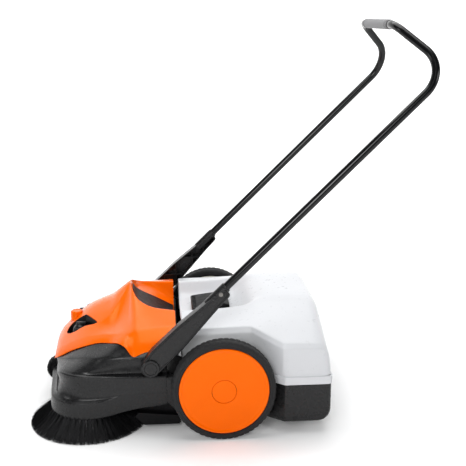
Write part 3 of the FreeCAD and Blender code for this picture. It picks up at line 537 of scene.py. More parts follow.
# ---- hood -----------------------------------------------------------------------------------
# Each station is a half section across the hood, from its lower edge over the flank, the crease, the
# slope and the valley's rim down the valley's wall to its floor; ahead of the valley the last columns
# run up to the middle of the hood instead. A station's second line starts inside the rim.
HOOD = (
    (124, (268, 250), (247, 269), (216, 281), (176, 290), (140, 298.5),
     (133, 297), (120, 240), (80, 236), (0, 235)),
    (155, (272, 241), (252, 262), (219, 279), (172, 292), (135, 301),
     (128, 299.5), (117, 264), (75, 254), (0, 252)),
    (187, (277, 234), (256, 256), (223, 276.5), (168, 293), (127, 303.5),
     (121, 302), (113, 287), (70, 273), (0, 270)),
    (212, (279, 229), (259, 252), (226, 274), (160, 295), (110, 310),
     (104, 308.5), (97, 299), (60, 288), (0, 285)),
    (230, (279, 221), (260, 247), (225, 271.5), (150, 297), (91, 318),
     (86, 316.5), (79, 308), (50, 301), (0, 298)),
    (240, (278, 214.5), (259, 245), (222, 269.5), (141, 297.5), (68, 327),
     (63, 326), (57, 319), (38, 314), (0, 311)),
    (247, (276, 222), (257, 247), (220, 267.5), (132, 294), (42, 337),
     (38, 336), (33, 331), (23, 329), (0, 326)),
    (251, (274.5, 229), (255, 248.5), (218, 266), (126, 291), (22, 344),
     (18, 344), (13, 342), (8, 342), (0, 342)),
    (254, (273, 233), (253.5, 250), (217, 265), (121, 288), (12, 343),
     (9, 345), (6, 346), (3, 346), (0, 346)),
    (262, (267, 243), (249, 253.5), (213, 263), (117, 281), (25, 333),
     (18, 337), (12, 339), (5, 340), (0, 340)),
    (280, (248, 247), (231, 252.5), (204, 258), (119, 266), (54, 309),
     (36, 315), (24, 321), (12, 325), (0, 326)),
    (295, (228, 240), (212, 247), (194, 253.5), (130, 258.5), (79, 291),
     (58, 300), (36, 307), (18, 312), (0, 313)),
    (309, (214, 235), (203, 243), (187, 250), (138, 254.5), (101, 276),
     (74, 286), (47, 293), (23, 298.5), (0, 300)),
    (325, (203, 232.5), (192, 240), (177, 246.5), (139, 251.5), (110, 266),
     (78, 279), (48, 287), (24, 292.5), (0, 294)),
    (345, (191, 228), (180, 235), (166, 241), (134, 249), (106, 260),
     (73, 272), (49, 280), (24, 286), (0, 288)),
    (384, (176, 212), (164, 220), (148, 228), (120, 238), (90, 247),
     (67, 256), (44, 263), (22, 267.5), (0, 269)),
    (421, (146, 190), (137, 198), (123, 206), (100, 214), (76, 222),
     (57, 227), (38, 231), (19, 234), (0, 235)),
    (448, (130, 170), (118, 180), (104, 187), (84, 194), (63, 200),
     (48, 204), (32, 208), (16, 211.5), (0, 213)),
    (461, (120, 161), (108, 170), (93, 176), (76, 181), (58, 187),
     (44, 190), (28, 193), (14, 195.5), (0, 196.5)),
    (470, (108, 154), (96, 161), (80, 166), (66, 169), (50, 173),
     (38, 175), (25, 177), (12, 178), (0, 178.5)),
    (474, (98, 149), (86, 150), (72, 151), (60, 152), (46, 153),
     (34, 154), (22, 155), (10, 156), (0, 156)),
)
HOOD_WALL = 3.0
PAD_WALL = 2.5
CREASE, RIM, LIP, FOOT, PAD, MIDDLE = 2, 4, 5, 6, 7, 8      # places in a half section
PAD_FROM, PAD_TO = 124, 247      # the black pad covers the valley's floor between these stations

# Outline of the lever's opening seen from above, from its blunt front end to its pointed rear end.
POCKET = ((440, 50), (434, 34), (422, 27), (404, 33), (381, 47), (362, 78), (343, 110), (358, 109),
          (384, 96), (410, 90), (427, 78), (437, 64))
KNOB = centre_of("height_knob")
KNOB_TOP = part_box("height_knob")[1].z / MM
KNOB_HOLE_R = 19.4


def whole_row(x, half):
    """A half section and its mirror image, as one row across the body."""
    left = [at(x, y, z) for y, z in half]
    right = [at(x, -y, z) for y, z in reversed(half) if y > 0]
    return left + right


def between(first, second, share):
    """The section part of the way from one to another."""
    return [(a[0] + (b[0] - a[0]) * share, a[1] + (b[1] - a[1]) * share) for a, b in zip(first, second)]


def sections(table, gap):
    """A table's stations as (x, half section), with one close to the first that keeps that end square."""
    stations = [(x, list(half)) for x, *half in table]
    (first_x, first), (next_x, after) = stations[:2]
    stations.insert(1, (first_x + gap, between(first, after, gap / (next_x - first_x))))
    return stations


def pocket_leaf(side):
    return [(x, y * side) for x, y in filleted(POCKET, 10)]


def hood_shell():
    rows = []
    for x, (edge, *rest) in sections(HOOD, 3.0):
        rows.append(whole_row(x, [edge, *between([edge], rest[:1], 0.12), *rest]))
    sharp = creases(len(rows[0]), {CREASE + 1: 0.6, RIM + 1: 0.7, LIP + 1: 0.3, FOOT + 1: 0.2})
    shell = smoothed(thickened(grid("hood_panel", rows, crease=sharp), HOOD_WALL), 3)
    for side in (1, -1):
        shell = cut_from(shell, slab("pocket_cutter", pocket_leaf(side), 190, 300, "Z", edge=0))
    return cut_from(shell, slab("knob_cutter", circle(KNOB.x, 0, KNOB_HOLE_R, 48), 150, 300, "Z", edge=0))


def recess_pad():
    """Black mat on the valley's floor."""
    lift = 1.0
    rows = []
    for x, *half in HOOD:
        if PAD_FROM <= x <= PAD_TO:
            edge, middle = half[PAD], half[MIDDLE]
            section = [(edge[0], edge[1] + lift), (edge[0] * 0.94, edge[1] + lift + 1.4)]
            section += [(edge[0] * share, middle[1] + (edge[1] - middle[1]) * share ** 2 + lift + 1.6)
                        for share in (0.66, 0.33, 0)]
            rows.append(whole_row(min(x + 2, PAD_TO), section))
    return smoothed(thickened(grid("recess_pad", rows), PAD_WALL), 3)


def hood_height(x, y):
    """Height of the hood's outer skin over a point, read off the stations."""
    def across(half):
        for (y0, z0), (y1, z1) in zip(half, half[1:]):
            if y1 <= abs(y) <= y0:
                return z0 + (z1 - z0) * (y0 - abs(y)) / max(y0 - y1, 0.001)
        return half[0][1]

    for (x0, *first), (x1, *second) in zip(HOOD, HOOD[1:]):
        if x0 <= x <= x1:
            share = (x - x0) / (x1 - x0)
            return across(first) * (1 - share) + across(second) * share
    return HOOD[-1][1][1]


def pocket_lining(name, side):
    """Dark wall that hangs from the edge of a lever's opening, rounded over its lip."""
    leaf = pocket_leaf(side)
    rows = []
    for distance, drop in ((-0.1, 4.5), (1.0, 1.4), (1.9, 1.2), (2.6, 3.0), (3.4, 22), (1.6, 22.2),
                           (-0.1, 9)):
        rows.append([at(u, v, hood_height(u, v) - drop) for u, v in inset(leaf, distance)])
    rows.append(rows[0])
    return grid(name, rows, wrap=True)


def lever(name, side):
    """Dark dome with a ridged thumb tab, on a short hinge pin."""
    low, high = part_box("left_brush_lever")
    middle_z = high.z / MM - 26
    y = (low + high).y / 2 / MM * side
    x = low.x / MM - AXLE_X + 22
    profile = [(0.01, 18.8), (5, 18.2), (9.5, 16.4), (13.4, 13.2), (16.4, 9.2), (18.2, 4.4), (18.9, 0),
               (18.9, -7.6), (16.2, -7.6), (16.2, 0), (15.4, 4.0), (12.0, 10.4), (7.0, 14.4), (0.01, 15.8)]
    dome = lathe("dome", [(radius, middle_z + up) for radius, up in profile], (x, y, 0), "Z", steps=48)
    tab = slab("tab", filleted(rectangle(x - 21, x + 9, y - 4.6, y + 4.6), 4),
               middle_z + 13, middle_z + 25.8, "Z", edge=1.8)
    ridges = [slab("ridge", rectangle(start, start + 1.2, y - 4, y + 4), middle_z + 25, middle_z + 26, "Z",
                   edge=0.3) for start in (x - 18, x - 14, x - 10, x - 6)]
    pin = lathe("pin", [(0, y - 13), (2.6, y - 13), (3, y - 12.6), (3, y + 12.6), (2.6, y + 13), (0, y + 13)],
                (x, 0, middle_z), steps=24)
    return joined(name, [dome, tab, pin, *ridges])


def height_knob():
    """Knob with eight finger lobes, a domed top with a sunk middle, and its stem."""
    def lobes(radius, depth):
        points = []
        for angle in turns(96):
            u, v = polar(radius - depth * (0.5 - 0.5 * math.cos(8 * angle)) ** 2, angle)
            points.append((KNOB.x + u, v))
        return points

    shape = ((34, 17.2, 0), (33.4, 17.9, 0), (18, 17.9, 0), (15, 17.9, 1.6), (4, 17.3, 1.7), (1.6, 16.2, 1.4),
             (0.3, 14.2, 1.0), (0, 11.5, 0), (0.5, 10.4, 0), (1.4, 9.6, 0), (1.5, 3, 0))
    levels = [(KNOB_TOP - drop, lobes(radius, depth)) for drop, radius, depth in shape]
    head = stacked("knob_head", levels, "Z")
    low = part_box("height_knob")[0].z / MM
    stem = lathe("knob_stem", [(0, low), (6.4, low), (7, low + 0.6), (7, KNOB_TOP - 32), (0, KNOB_TOP - 32)],
                 (KNOB.x, 0, 0), "Z", steps=32)
    return joined("height_knob_visual", [head, stem])


def build_hood():
    finished(hood_shell(), "orange_plastic", "chassis", ["hood"])
    finished(recess_pad(), "black_plastic", "chassis", ["hood_recess_liner"])
    for side, sign in SIDES:
        finished(pocket_lining(side + "_pocket_lining", sign), "black_plastic", "chassis")
    for side, sign in SIDES:
        node = side + "_brush_lever"
        finished(lever(node + "_visual", sign), "dark_grey_plastic", side + "_lever", [node])
    finished(height_knob(), "orange_plastic", "knob", ["height_knob"])


# ---- front shroud ---------------------------------------------------------------------------
BRUSH = centre_of("left_brush_spindle")
PIVOT = centre_of("pivot_caps")
FLANK_Y = 294.0
# Height, radius round the brush, nose and flank of each level of the skirt, the waist and the lip.
SKIRT = ((45, 108.3, 489, 292), (50, 108.2, 489, 292.5), (84, 106.2, 488, 293.5),
         (88.6, 105.6, 487.5, FLANK_Y), (90.4, 103.0, 486, FLANK_Y), (93.5, 96.0, 476, FLANK_Y),
         (104, 92.4, 464, FLANK_Y), (124, 92, 458, FLANK_Y), (142, 93, 460, FLANK_Y),
         (157, 94.4, 464, FLANK_Y), (164, 93.8, 468, 293), (166.4, 90.5, 468, 289))
NIP = (0, 0, 0, 0, 0, 1, 6, 12, 12, 9, 7, 7)     # how much closer each level comes to the brush in front
SKIRT_Z, WAIST_Z, LIP_Z = 45, 89, 166.4
FLANK_RUN = 110          # length over which the skirt leaves the brush and meets the flank
NOTCH_FRONT = 384        # the notch in the shroud's side runs back from here
COVER_LOW_Y, COVER_HIGH_Y = 290.4, 261   # outer faces of the side cover's two steps
SHROUD_WALL = 3
FLANK_AT = (349, 322, 292, 262, 228, 190, 152, 150)      # columns behind the brush
SKIRT_EDGE = ((371, 45), (317, 50), (273, 63), (228, 73), (150, 81))     # lower edge along the flank
WAIST_EDGE = ((371, 90), (316, 98), (271, 116), (228, 120), (150, 120))  # where the skirt's band ends

# Fold below the hood and the seam under the hood's edge, nose to rear, a point for each column.
SHOULDER = (
    (475, 0, 146), (475, 30, 146), (474, 62, 148), (470, 92, 153), (459, 123, 161), (444, 150, 169),
    (430, 172, 176), (410, 192, 184), (389, 216, 194), (368, 234, 201), (346, 252, 208), (326, 266, 213),
    (306, 274, 215), (284, 278, 216), (262, 279, 216), (228, 279, 214), (190, 279, 213), (152, 278, 212),
    (150, 262, 212),
)
HOOD_SEAM = (
    (472, 0, 149), (472, 30, 149), (471, 62, 151), (467, 92, 154), (453, 118, 163), (438, 130, 174),
    (422, 140, 186), (400, 158, 200), (376, 172, 214), (350, 184, 226), (324, 198, 232), (302, 214, 237),
    (286, 230, 243), (274, 243, 246), (262, 256, 244), (228, 272, 224), (190, 273.5, 235), (152, 268, 244),
    (150, 256, 244),
)


def looked_up(table, x):
    """Value at x in a falling (x, value) table."""
    for (x0, low), (x1, high) in zip(table, table[1:]):
        if x >= x1:
            share = clamped((x0 - x) / (x0 - x1))
            return low + (high - low) * share
    return table[-1][1]


def shroud_row(z, radius, front, flank, nip):
    """Half outline of one level: nose, round the brush, then along the flank."""
    half = [(front, 0), (front, 30), (front - 1, 62), (front - 5, 92)]
    for degrees in range(12, 91, 13):
        angle = math.radians(degrees)
        ahead, aside = polar(radius - nip * math.cos(angle), angle)
        half.append((BRUSH.x + ahead, BRUSH.y + aside))
    for x in FLANK_AT:
        share = min(1.0, (BRUSH.x - x) / FLANK_RUN)
        share = share * share * (3 - 2 * share)
        half.append((x, (BRUSH.y + radius) * (1 - share) + flank * share))
    half[-1] = (FLANK_AT[-1], 262)
    row = []
    for (x, y), (_, _, top) in zip(half, SHOULDER):
        skirt = looked_up(SKIRT_EDGE, x)
        waist = looked_up(WAIST_EDGE, x)
        lip = min(LIP_Z, top - 7)
        if z <= WAIST_Z:
            height = skirt + (z - SKIRT_Z) * (waist - skirt) / (WAIST_Z - SKIRT_Z)
        else:
            height = waist + (z - WAIST_Z) * (lip - waist) / (LIP_Z - WAIST_Z)
        row.append((x, y, height))
    return row


def notch_rows(lip):
    """Rows above the lip: ledge, back of the wedge-shaped notch, its upper edge and the cheek above it."""
    rows = [[], [], [], []]
    for (x, y, z), (shoulder_x, shoulder_y, shoulder_z) in zip(lip, SHOULDER):
        share = clamped((NOTCH_FRONT - x) / 90) if y > 200 else 0.0
        depth = 1.5 + 17 * share
        upper = 0.10 + 0.78 * clamped((NOTCH_FRONT - x) / 125) if share else 0.12
        for row, (rise, inward) in zip(rows, ((0.03, depth * 0.9), (max(0.06, upper * 0.5), depth),
                                              (upper, depth * 0.75), (upper + 0.06, 0.0))):
            row.append((x + (shoulder_x - x) * rise, y + (shoulder_y - y) * rise - (inward if y > 1 else 0),
                        z + (shoulder_z - z) * rise))
    for row in rows:
        row[-1] = (FLANK_AT[-1], 258, row[-1][2])
    return rows


def shroud():
    """Skirt round the brushes, waist, lip, notch and the shoulder up under the hood."""
    rows = [shroud_row(*level, nip) for level, nip in zip(SKIRT, NIP)]
    rows += notch_rows(rows[-1])
    for share, lift in ((0, -2.5), (0.08, 0), (0.7, -1), (1, 0)):
        rows.append([(x + (a - x) * share, y + (b - y) * share, z + (c - z) * share + lift)
                     for (x, y, z), (a, b, c) in zip(SHOULDER, HOOD_SEAM)])
    full = []
    for row in rows:
        left = [at(*point) for point in row]
        right = [at(x, -y, z) for x, y, z in row if y > 0]
        full.append(left[::-1] + right)
    sharp = creases(len(full[0]), {1: 0.8}, {2: 0.8, 3: 0.8, 9: 0.5, 10: 0.8, 11: 0.6, 12: 0.6, 14: 0.7,
                                             15: 0.7, 16: 0.6})
    skin = smoothed(thickened(grid("shroud_panel", full, crease=sharp), SHROUD_WALL), 2)
    return cut_from(skin, slab("slot", rectangle(440, 520, -23.5, 23.5), 20, 121, "Z", edge=0))


def side_cover(name):
    """Cover over the belt drive behind the shroud, with the pivot's boss."""
    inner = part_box("left_side_cover")[0].y / MM
    low = filleted([(62, 52), (128, 59), (150, 84), (205, 90), (262, 80), (262, 160), (76, 160)], 8)
    high = filleted([(78, 158), (262, 158), (262, 211), (122, 211), (96, 198)], 8)
    lower = slab("cover_low", low, inner, COVER_LOW_Y, edge=6, segments=4)
    upper = slab("cover_high", high, inner, COVER_HIGH_Y, edge=3)
    boss = lathe("cover_boss", [(10.4, inner), (17, inner), (17, 277.4), (16.2, 278.6), (10.4, 278.6)],
                 PIVOT, steps=64)
    return joined(name, [lower, upper, boss])


def support_wheel():
    """Small hard wheel with a knobbed tread and a sunk hub."""
    centre = centre_of("support_roller")
    low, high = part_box("support_roller")
    radius = (high.z - low.z) / 2 / MM
    half = high.y / MM
    profile = behind(half, ((4.3, 1), (11, 1), (12, 3), (24, 3), (26, 0.4), (radius - 5, 0),
                            (radius - 2.2, 1.4), (radius - 0.6, 3.2), (radius, 5)))
    profile += [(radius, 1.6), (radius - 1.8, 0.8)]
    profile += [(reach, -y) for reach, y in reversed(profile)]
    knobs, steps_per_knob = 22, 8

    def sunk(point, step):
        reach, y = point
        if reach <= radius - 3:
            return 0.0
        return 2.6 * groove_share(step / steps_per_knob + (0.5 if y < 0 else 0), 0.55)

    return lathe("support_roller_visual", profile, centre, steps=knobs * steps_per_knob, sunk=sunk)


def build_shroud():
    finished(shroud(), "dark_grey_plastic", "chassis", ["front_shroud"])
    both_sides(side_cover("left_side_cover_visual"), "dark_grey_plastic", "chassis", "left_side_cover")
    finished(support_wheel(), "black_plastic", "support_wheel", ["support_roller"])


# ---- hopper ---------------------------------------------------------------------------------
# Half sections across the white shell: side at the seam, side, shoulder, shoulder top, crown or rim,
# lip, valley wall, floor and middle. A station's second line starts inside the rim.
HOPPER = (
    (108, (246, 164), (246, 215), (246, 262), (236, 277), (190, 287),
     (141, 297), (134, 296), (108, 253), (0, 252)),
    (36, (246, 164), (246, 215), (246, 262), (236, 278), (190, 288),
     (142, 299), (135, 297), (108, 253), (0, 252)),
    (-30, (246, 164), (246, 215), (246, 264), (236, 280), (190, 291),
     (142, 303), (135, 301), (108, 254), (0, 253)),
    (-62, (246, 164), (246, 215), (246, 265), (236, 281), (190, 293),
     (141, 307), (134, 305), (104, 264), (0, 262)),
    (-82, (249, 164), (249, 215), (249, 266), (240, 281), (190, 295),
     (140, 310), (131, 309), (96, 284), (0, 281)),
    (-100, (268, 164), (268, 214), (267, 262), (256, 277), (198, 296),
     (139, 315), (124, 316), (88, 307), (0, 306)),
    (-130, (301, 164), (300, 212), (299, 254), (288, 269), (214, 296),
     (138, 320), (112, 323), (80, 324), (0, 324)),
    (-160, (328, 164), (327, 210), (325, 246), (314, 260), (226, 293),
     (138, 322), (110, 326), (80, 327), (0, 327)),
    (-172, (331, 164), (330, 210), (328, 246), (317, 259), (228, 292),
     (138, 322), (110, 326), (80, 327), (0, 327)),
    (-225, (331, 164), (330, 210), (329, 246), (318, 258), (228, 292),
     (138, 322), (110, 326), (80, 327), (0, 327)),
    (-255, (331, 164), (330, 210), (328, 246), (317, 257), (228, 291),
     (138, 321), (110, 325), (80, 326), (0, 326)),
    (-271, (330, 164), (329, 208), (326, 242), (315, 252), (228, 286),
     (138, 317), (110, 320), (80, 321), (0, 321)),
    (-281, (329, 164), (327, 204), (322, 232), (311, 241), (226, 273),
     (138, 305), (110, 307), (80, 308), (0, 308)),
    (-287, (326, 164), (323, 196), (317, 216), (305, 223), (224, 250),
     (137, 279), (110, 281), (80, 282), (0, 282)),
    (-291, (321, 164), (318, 186), (312, 196), (300, 201), (220, 218),
     (136, 236), (110, 237), (80, 238), (0, 238)),
    (-293, (312, 164), (309, 172), (303, 176), (292, 178), (215, 182),
     (134, 186), (110, 186), (80, 186), (0, 186)),
    (-293.6, (300, 163), (297, 163), (291, 163), (282, 163), (213, 163),
     (133, 163), (110, 163), (80, 163), (0, 163)),
)


HOPPER_WALL = 3


def hopper_top():
    rows = [whole_row(x, half) for x, half in sections(HOPPER, -4.0)]
    sharp = creases(len(rows[0]), {2: 0.8, 3: 0.8, 5: 0.5, 6: 0.4, 7: 0.3},
                    {5: 0.75, 8: 0.6, 9: 0.6}, 3)
    return smoothed(thickened(grid("hopper_top_panel", rows, crease=sharp), HOPPER_WALL), 3)


SEAM_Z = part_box("hopper_bin")[1].z / MM + 0.3
BASE_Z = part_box("hopper_bin")[0].z / MM
BAND_TOP_Z = 166.0
BIN_WALL = 3.2
BAIL_PIN_X, BAIL_PIN_Z = -30, 268        # the bail's hinge pin


def hopper_outline(out):
    """Plan of the hopper: square front, flare behind the wheels, straight sides and a rounded back."""
    half = [(-78, 246), (-84, 249.5), (-130, 299), (-167, 330), (-294, 330)]
    points = half + [(x, -y) for x, y in reversed(half)]
    radii = [2, 5, 18, 8, 14, 14, 8, 18, 5, 2]
    return inset(filleted(points, radii, steps=6), -out)


def hopper_band():
    """White band that closes the shell's lower edge, standing a little proud of it."""
    levels = [(SEAM_Z + 0.3, 0.6), (SEAM_Z + 0.1, 1.4), (SEAM_Z + 1.0, 2.4), (BAND_TOP_Z - 2.2, 2.6),
              (BAND_TOP_Z - 0.8, 2.2), (BAND_TOP_Z, 1.0), (BAND_TOP_Z + 0.2, -2.0), (SEAM_Z + 0.3, -3.0)]
    return stacked("hopper_band", [(z, hopper_outline(out)) for z, out in levels], "Z", ring=True)


def bin_levels(wall):
    """Levels of the bin from its mouth down; the lower rear edge is drawn in along a large radius."""
    levels = []
    radius = 36.0
    for step in range(9):
        out, up = polar(1, math.pi / 2 * step / 8)
        z = BASE_Z + radius * (1 - up) + wall
        forward = radius * (1 - out) * 0.9
        side = 7 * (1 - out) ** 2
        outline = [(x + forward * clamped((-180 - x) / 110), y - math.copysign(side, y) if abs(y) > 1 else y)
                   for x, y in hopper_outline(-wall)]
        levels.append((z, outline))
    return levels


def hopper_bin():
    """Open black bin with a rolled rim, a ribbed base and a mouth in front for the dirt."""
    rim = [(SEAM_Z - down, hopper_outline(out)) for down, out in
           ((1.2, -BIN_WALL), (0.4, -2.6), (0.4, -0.8), (1.2, 0.0))]
    shell = stacked("bin_shell", [*reversed(bin_levels(BIN_WALL)), *rim, *bin_levels(0.0)], "Z")
    shell = cut_from(shell, slab("mouth", rectangle(-95, -60, -236, 236), 62, SEAM_Z - 6, "Z", edge=0))
    section = [(-235, BASE_Z + 2.5), (-100, BASE_Z + 2.5), (-104, BASE_Z + 7), (-231, BASE_Z + 7)]
    ribs = [slab("rib", section, y - 1.5, y + 1.5, edge=0.6) for y in range(-240, 241, 80)]
    return joined("hopper_bin_visual", [shell, *ribs])


def bail():
    """Moulded bail: thick front grip, a panel behind it and two cheeks on the hinge pin."""
    shell = [(-37, 262), (-37.4, 284), (-22, 289.5), (8, 283.6), (70, 275.4), (73.6, 271), (73, 263.4),
             (68, 261.4), (60, 262.6), (57, 268), (52, 273.6), (10, 279.4), (-22, 284.6), (-31, 281),
             (-31, 262)]
    body = slab("bail_body", filleted(shell, 2.6, steps=3), -63, 63, edge=1.6)
    side = filleted([(-37, 258.6), (-37, 283), (-22, 288.6), (8, 282.6), (70, 274), (72, 263),
                     (10, 262.4)], 4)
    cheeks = [slab("cheek", side, y, y + 8, edge=1.6) for y in (-64, 56)]
    section = [(58, 275.6), (60, 278.2), (69, 277), (70, 274)]
    ridges = [slab("bail_ridge", section, y - 2, y + 2, edge=0.5) for y in range(-48, 49, 12)]
    rod = lathe("rod", [(0, -75.8), (4.4, -75.8), (5, -75), (5, 75), (4.4, 75.8), (0, 75.8)],
                (BAIL_PIN_X, 0, BAIL_PIN_Z), steps=32)
    return joined("hopper_handle_visual", [body, *cheeks, *ridges, rod])


def hinge_eyes():
    """Blocks that carry the bail's pin, rounded over the top."""
    outline = filleted([(-42, 252.2), (-42, 272), (-37, 279.8), (-23, 279.8), (-18, 272), (-18, 252.2)],
                       [2, 7, 7, 7, 7, 2])
    left = slab("eye", outline, 68.2, 76, edge=1)
    left = cut_from(left, slab("hole", circle(BAIL_PIN_X, BAIL_PIN_Z, 5.1, 32), 60, 80, edge=0))
    return joined("hopper_hinges_visual", [mirrored(left, "eye_mirror"), left])


def build_hopper():
    shell = joined("hopper_shell_visual", [hopper_top(), hopper_band()])
    finished(shell, "white_plastic", "hopper", ["hopper_shell"])
    finished(hopper_bin(), "dark_grey_plastic", "hopper", ["hopper_bin"])
    finished(bail(), "black_plastic", "hopper_bail", ["hopper_handle"])
    finished(hinge_eyes(), "black_plastic", "hopper", ["hopper_hinges"])


# ---- brushes --------------------------------------------------------------------------------
def fibres(name, strands, sides=3):
    """Thin tapered bristles; each strand is a list of (point, radius) from its root to its tip."""
    points = []
    faces = []
    for strand in strands:
        first = len(points)
        direction = (strand[-1][0] - strand[0][0]).normalized()
        normal = direction.orthogonal().normalized()
        side = direction.cross(normal)
        for place, radius in strand:
            points += around(place, radius, normal, side, sides)
        for low in range(first, len(points) - sides, sides):
            for step in range(sides):
                after = (step + 1) % sides
                faces.append((low + step, low + after, low + sides + after, low + sides + step))
        faces.append(tuple(range(first + sides - 1, first - 1, -1)))
        faces.append(tuple(range(len(points) - sides, len(points))))
    return from_faces(name, points, faces)


DISC_REACH = 164.4
DISC_ROOT_Z = 72.0
TUFT_RINGS = ((62, 30, 0.0), (71, 38, 0.3), (79, 44, 0.62), (86, 50, 1.0))   # radius, tufts, lean outward
STRANDS_PER_TUFT = 76
STRAND_R, STRAND_TAPER = 0.55, 0.27      # radius at the root, and how much less it is at the tip
TIP_R, SPLAY = 128, 37           # where an upright strand meets the floor, and how far a splayed one goes on


def disc_strands():
    """Tufts rooted in rings under the plate; they hang, then splay outward to the floor."""
    rng = random.Random(41)
    strands = []
    for ring, tufts, lean in TUFT_RINGS:
        for tuft in range(tufts):
            heading = 2 * math.pi * (tuft + rng.uniform(-0.15, 0.15)) / tufts + lean
            for _ in range(STRANDS_PER_TUFT):
                turn = heading + rng.gauss(0, 0.004)
                root_r = ring + rng.gauss(0, 0.9)
                end_turn = heading + rng.gauss(0, 0.040) + 0.02
                splay = 1 - (1 - lean) * rng.uniform(0.45, 1.0) - 0.25 * rng.random() ** 3
                end_r = min(TIP_R + SPLAY * splay + rng.gauss(0, 3.2),
                            DISC_REACH - 0.6 - abs(rng.gauss(0, 1.6)))
                end_z = max(0.4, abs(rng.gauss(0.4, 1.3)) + 9 * lean * max(0.0, rng.gauss(0, 0.5)))
                strand = []
                for share in (0.0, 0.55, 1.0):
                    out = root_r + (end_r - root_r) * share ** 1.3
                    fall = DISC_ROOT_Z + (end_z - DISC_ROOT_Z) * share ** 1.05
                    bearing = turn + (end_turn - turn) * share
                    ahead, aside = polar(out, bearing)
                    place = Vector((BRUSH.x + ahead, BRUSH.y + aside, fall))
                    strand.append((place, STRAND_R - STRAND_TAPER * share))
                strands.append(strand)
    return strands


def build_disc_brushes():
    left = fibres("left_disc_bristles_visual", disc_strands())
    both_sides(left, "bristle", "left_disc_brush", "left_disc_bristles")


def build_roller_brush():
    """Eight straight rows of bristles standing on a ribbed sleeve."""
    low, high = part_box("roller_bristles")
    centre = centre_of("roller_bristles")
    reach = (high.z - low.z) / 2 / MM - 0.4
    end = high.y / MM - 1.0
    core = (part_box("roller_core")[1].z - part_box("roller_core")[0].z) / 2 / MM
    rng = random.Random(17)
    strands = []
    for row in range(8):
        angle = math.radians((row + 0.5) * 45)
        for line in (-2.0, 0.0, 2.0):
            y = -end + 1
            while y < end - 1:
                lean = rng.gauss(0, 0.035)
                across = rng.gauss(0, 1.2)
                ahead = Vector((math.cos(angle + lean), 0, math.sin(angle + lean)))
                side = Vector((-math.sin(angle), 0, math.cos(angle)))
                root = Vector((centre.x, y, centre.z)) + side * line + ahead * (core + 1)
                tip_y = max(-end, min(end, y + across))
                tip = Vector((centre.x, tip_y, centre.z)) + side * line * 1.3
                tip += ahead * (reach - 1.5 - rng.random() * 2.5)
                strands.append([(root, 0.55), (tip, 0.34)])
                y += rng.uniform(1.5, 2.1)
    rows = fibres("roller_rows", strands)
    steps = 44
    ribs = [(core + 2.9 - 0.6 * (step % 2), -end + 2 * end * step / steps) for step in range(steps + 1)]
    profile = [(core + 0.1, -end), *ribs, (core + 0.1, end)]
    sleeve = lathe("roller_sleeve", profile, centre, steps=64)
    brush = joined("roller_bristles_visual", [rows, sleeve])
    finished(brush, "bristle", "roller_brush", ["roller_bristles"])


# ---- handle ---------------------------------------------------------------------------------
TUBE_R = 11.0
TUBE_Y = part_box("left_handle_tube")[1].y / MM - TUBE_R
ARM_IN = 281.0
ARM_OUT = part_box("left_arm")[1].y / MM
TUBE_LOW = Vector((30, 0, 375))                  # where the tube's axis starts in the arm
TUBE_BEND = Vector((-582, 0, 977))
GRIP = centre_of("grip_sleeve")
GRIP_CORNER_Y = 180.0


def arm_outline():
    heel = []
    for degrees in range(22, -152, -14):
        u, v = polar(26.6, math.radians(degrees))
        heel.append((PIVOT.x + u, PIVOT.z + v))
    corners = [(105, 250), (14, 357), (-21.4, 395.6), (-5, 415.4), (120, 312), (191, 244), (211.6, 216)]
    return filleted(corners, [30, 30, 9, 9, 40, 26, 20], closed=False, steps=5) + heel


def arm_shell(name):
    """Box beam, open towards the body, with its outer face sunk a little and ribs inside."""
    outline = arm_outline()
    wall = 3.6
    levels = [(ARM_OUT - 1.8, inset(outline, 8.4)), (ARM_OUT - 1.8, inset(outline, 7.0)),
              (ARM_OUT - 0.2, inset(outline, 5.6)), (ARM_OUT, inset(outline, 5.0))]
    levels += reversed(rounding(outline, ARM_OUT, 1, 3.4, 5))
    levels += [(ARM_IN + 1, outline), (ARM_IN, inset(outline, 0.8)), (ARM_IN, inset(outline, wall - 0.4)),
               (ARM_IN + 1, inset(outline, wall)), (ARM_OUT - wall, inset(outline, wall))]
    shell = stacked(name, levels)
    ribs = [rib_in(outline, x, z, degrees) for x, z in ((58, 334), (112, 276), (22, 372), (150, 240))
            for degrees in (88, 178)]
    return joined(name, [shell, *ribs])


def rib_in(outline, x, z, degrees):
    """Thin wall through (x, z) across the arm's pocket, cut off where it meets the arm's own wall."""
    run = Vector(polar(1, math.radians(degrees)))
    ends = []
    for sign in (1, -1):
        best = 200.0         # longer than any rib
        for first, second in zip(outline, [*outline[1:], outline[0]]):
            edge = Vector(second) - Vector(first)
            cross = run.x * sign * edge.y - run.y * sign * edge.x
            if abs(cross) < 1e-6:
                continue
            gap = Vector(first) - Vector((x, z))
            along = (gap.x * edge.y - gap.y * edge.x) / cross
            share = (gap.x * run.y * sign - gap.y * run.x * sign) / cross
            if along > 0 and -0.001 <= share <= 1.001:
                best = min(best, along)
        ends.append(Vector((x, z)) + run * sign * (best - 2.5))
    side = Vector((-run.y, run.x)) * 1.2
    corners = [ends[0] + side, ends[1] + side, ends[1] - side, ends[0] - side]
    return slab("rib", [tuple(corner) for corner in corners], ARM_IN + 2.5, ARM_OUT - 3.5, edge=0.5)


def along_tube(distance, y):
    run = (TUBE_BEND - TUBE_LOW).normalized()
    place = TUBE_LOW + run * distance
    return Vector((place.x, y, place.z))


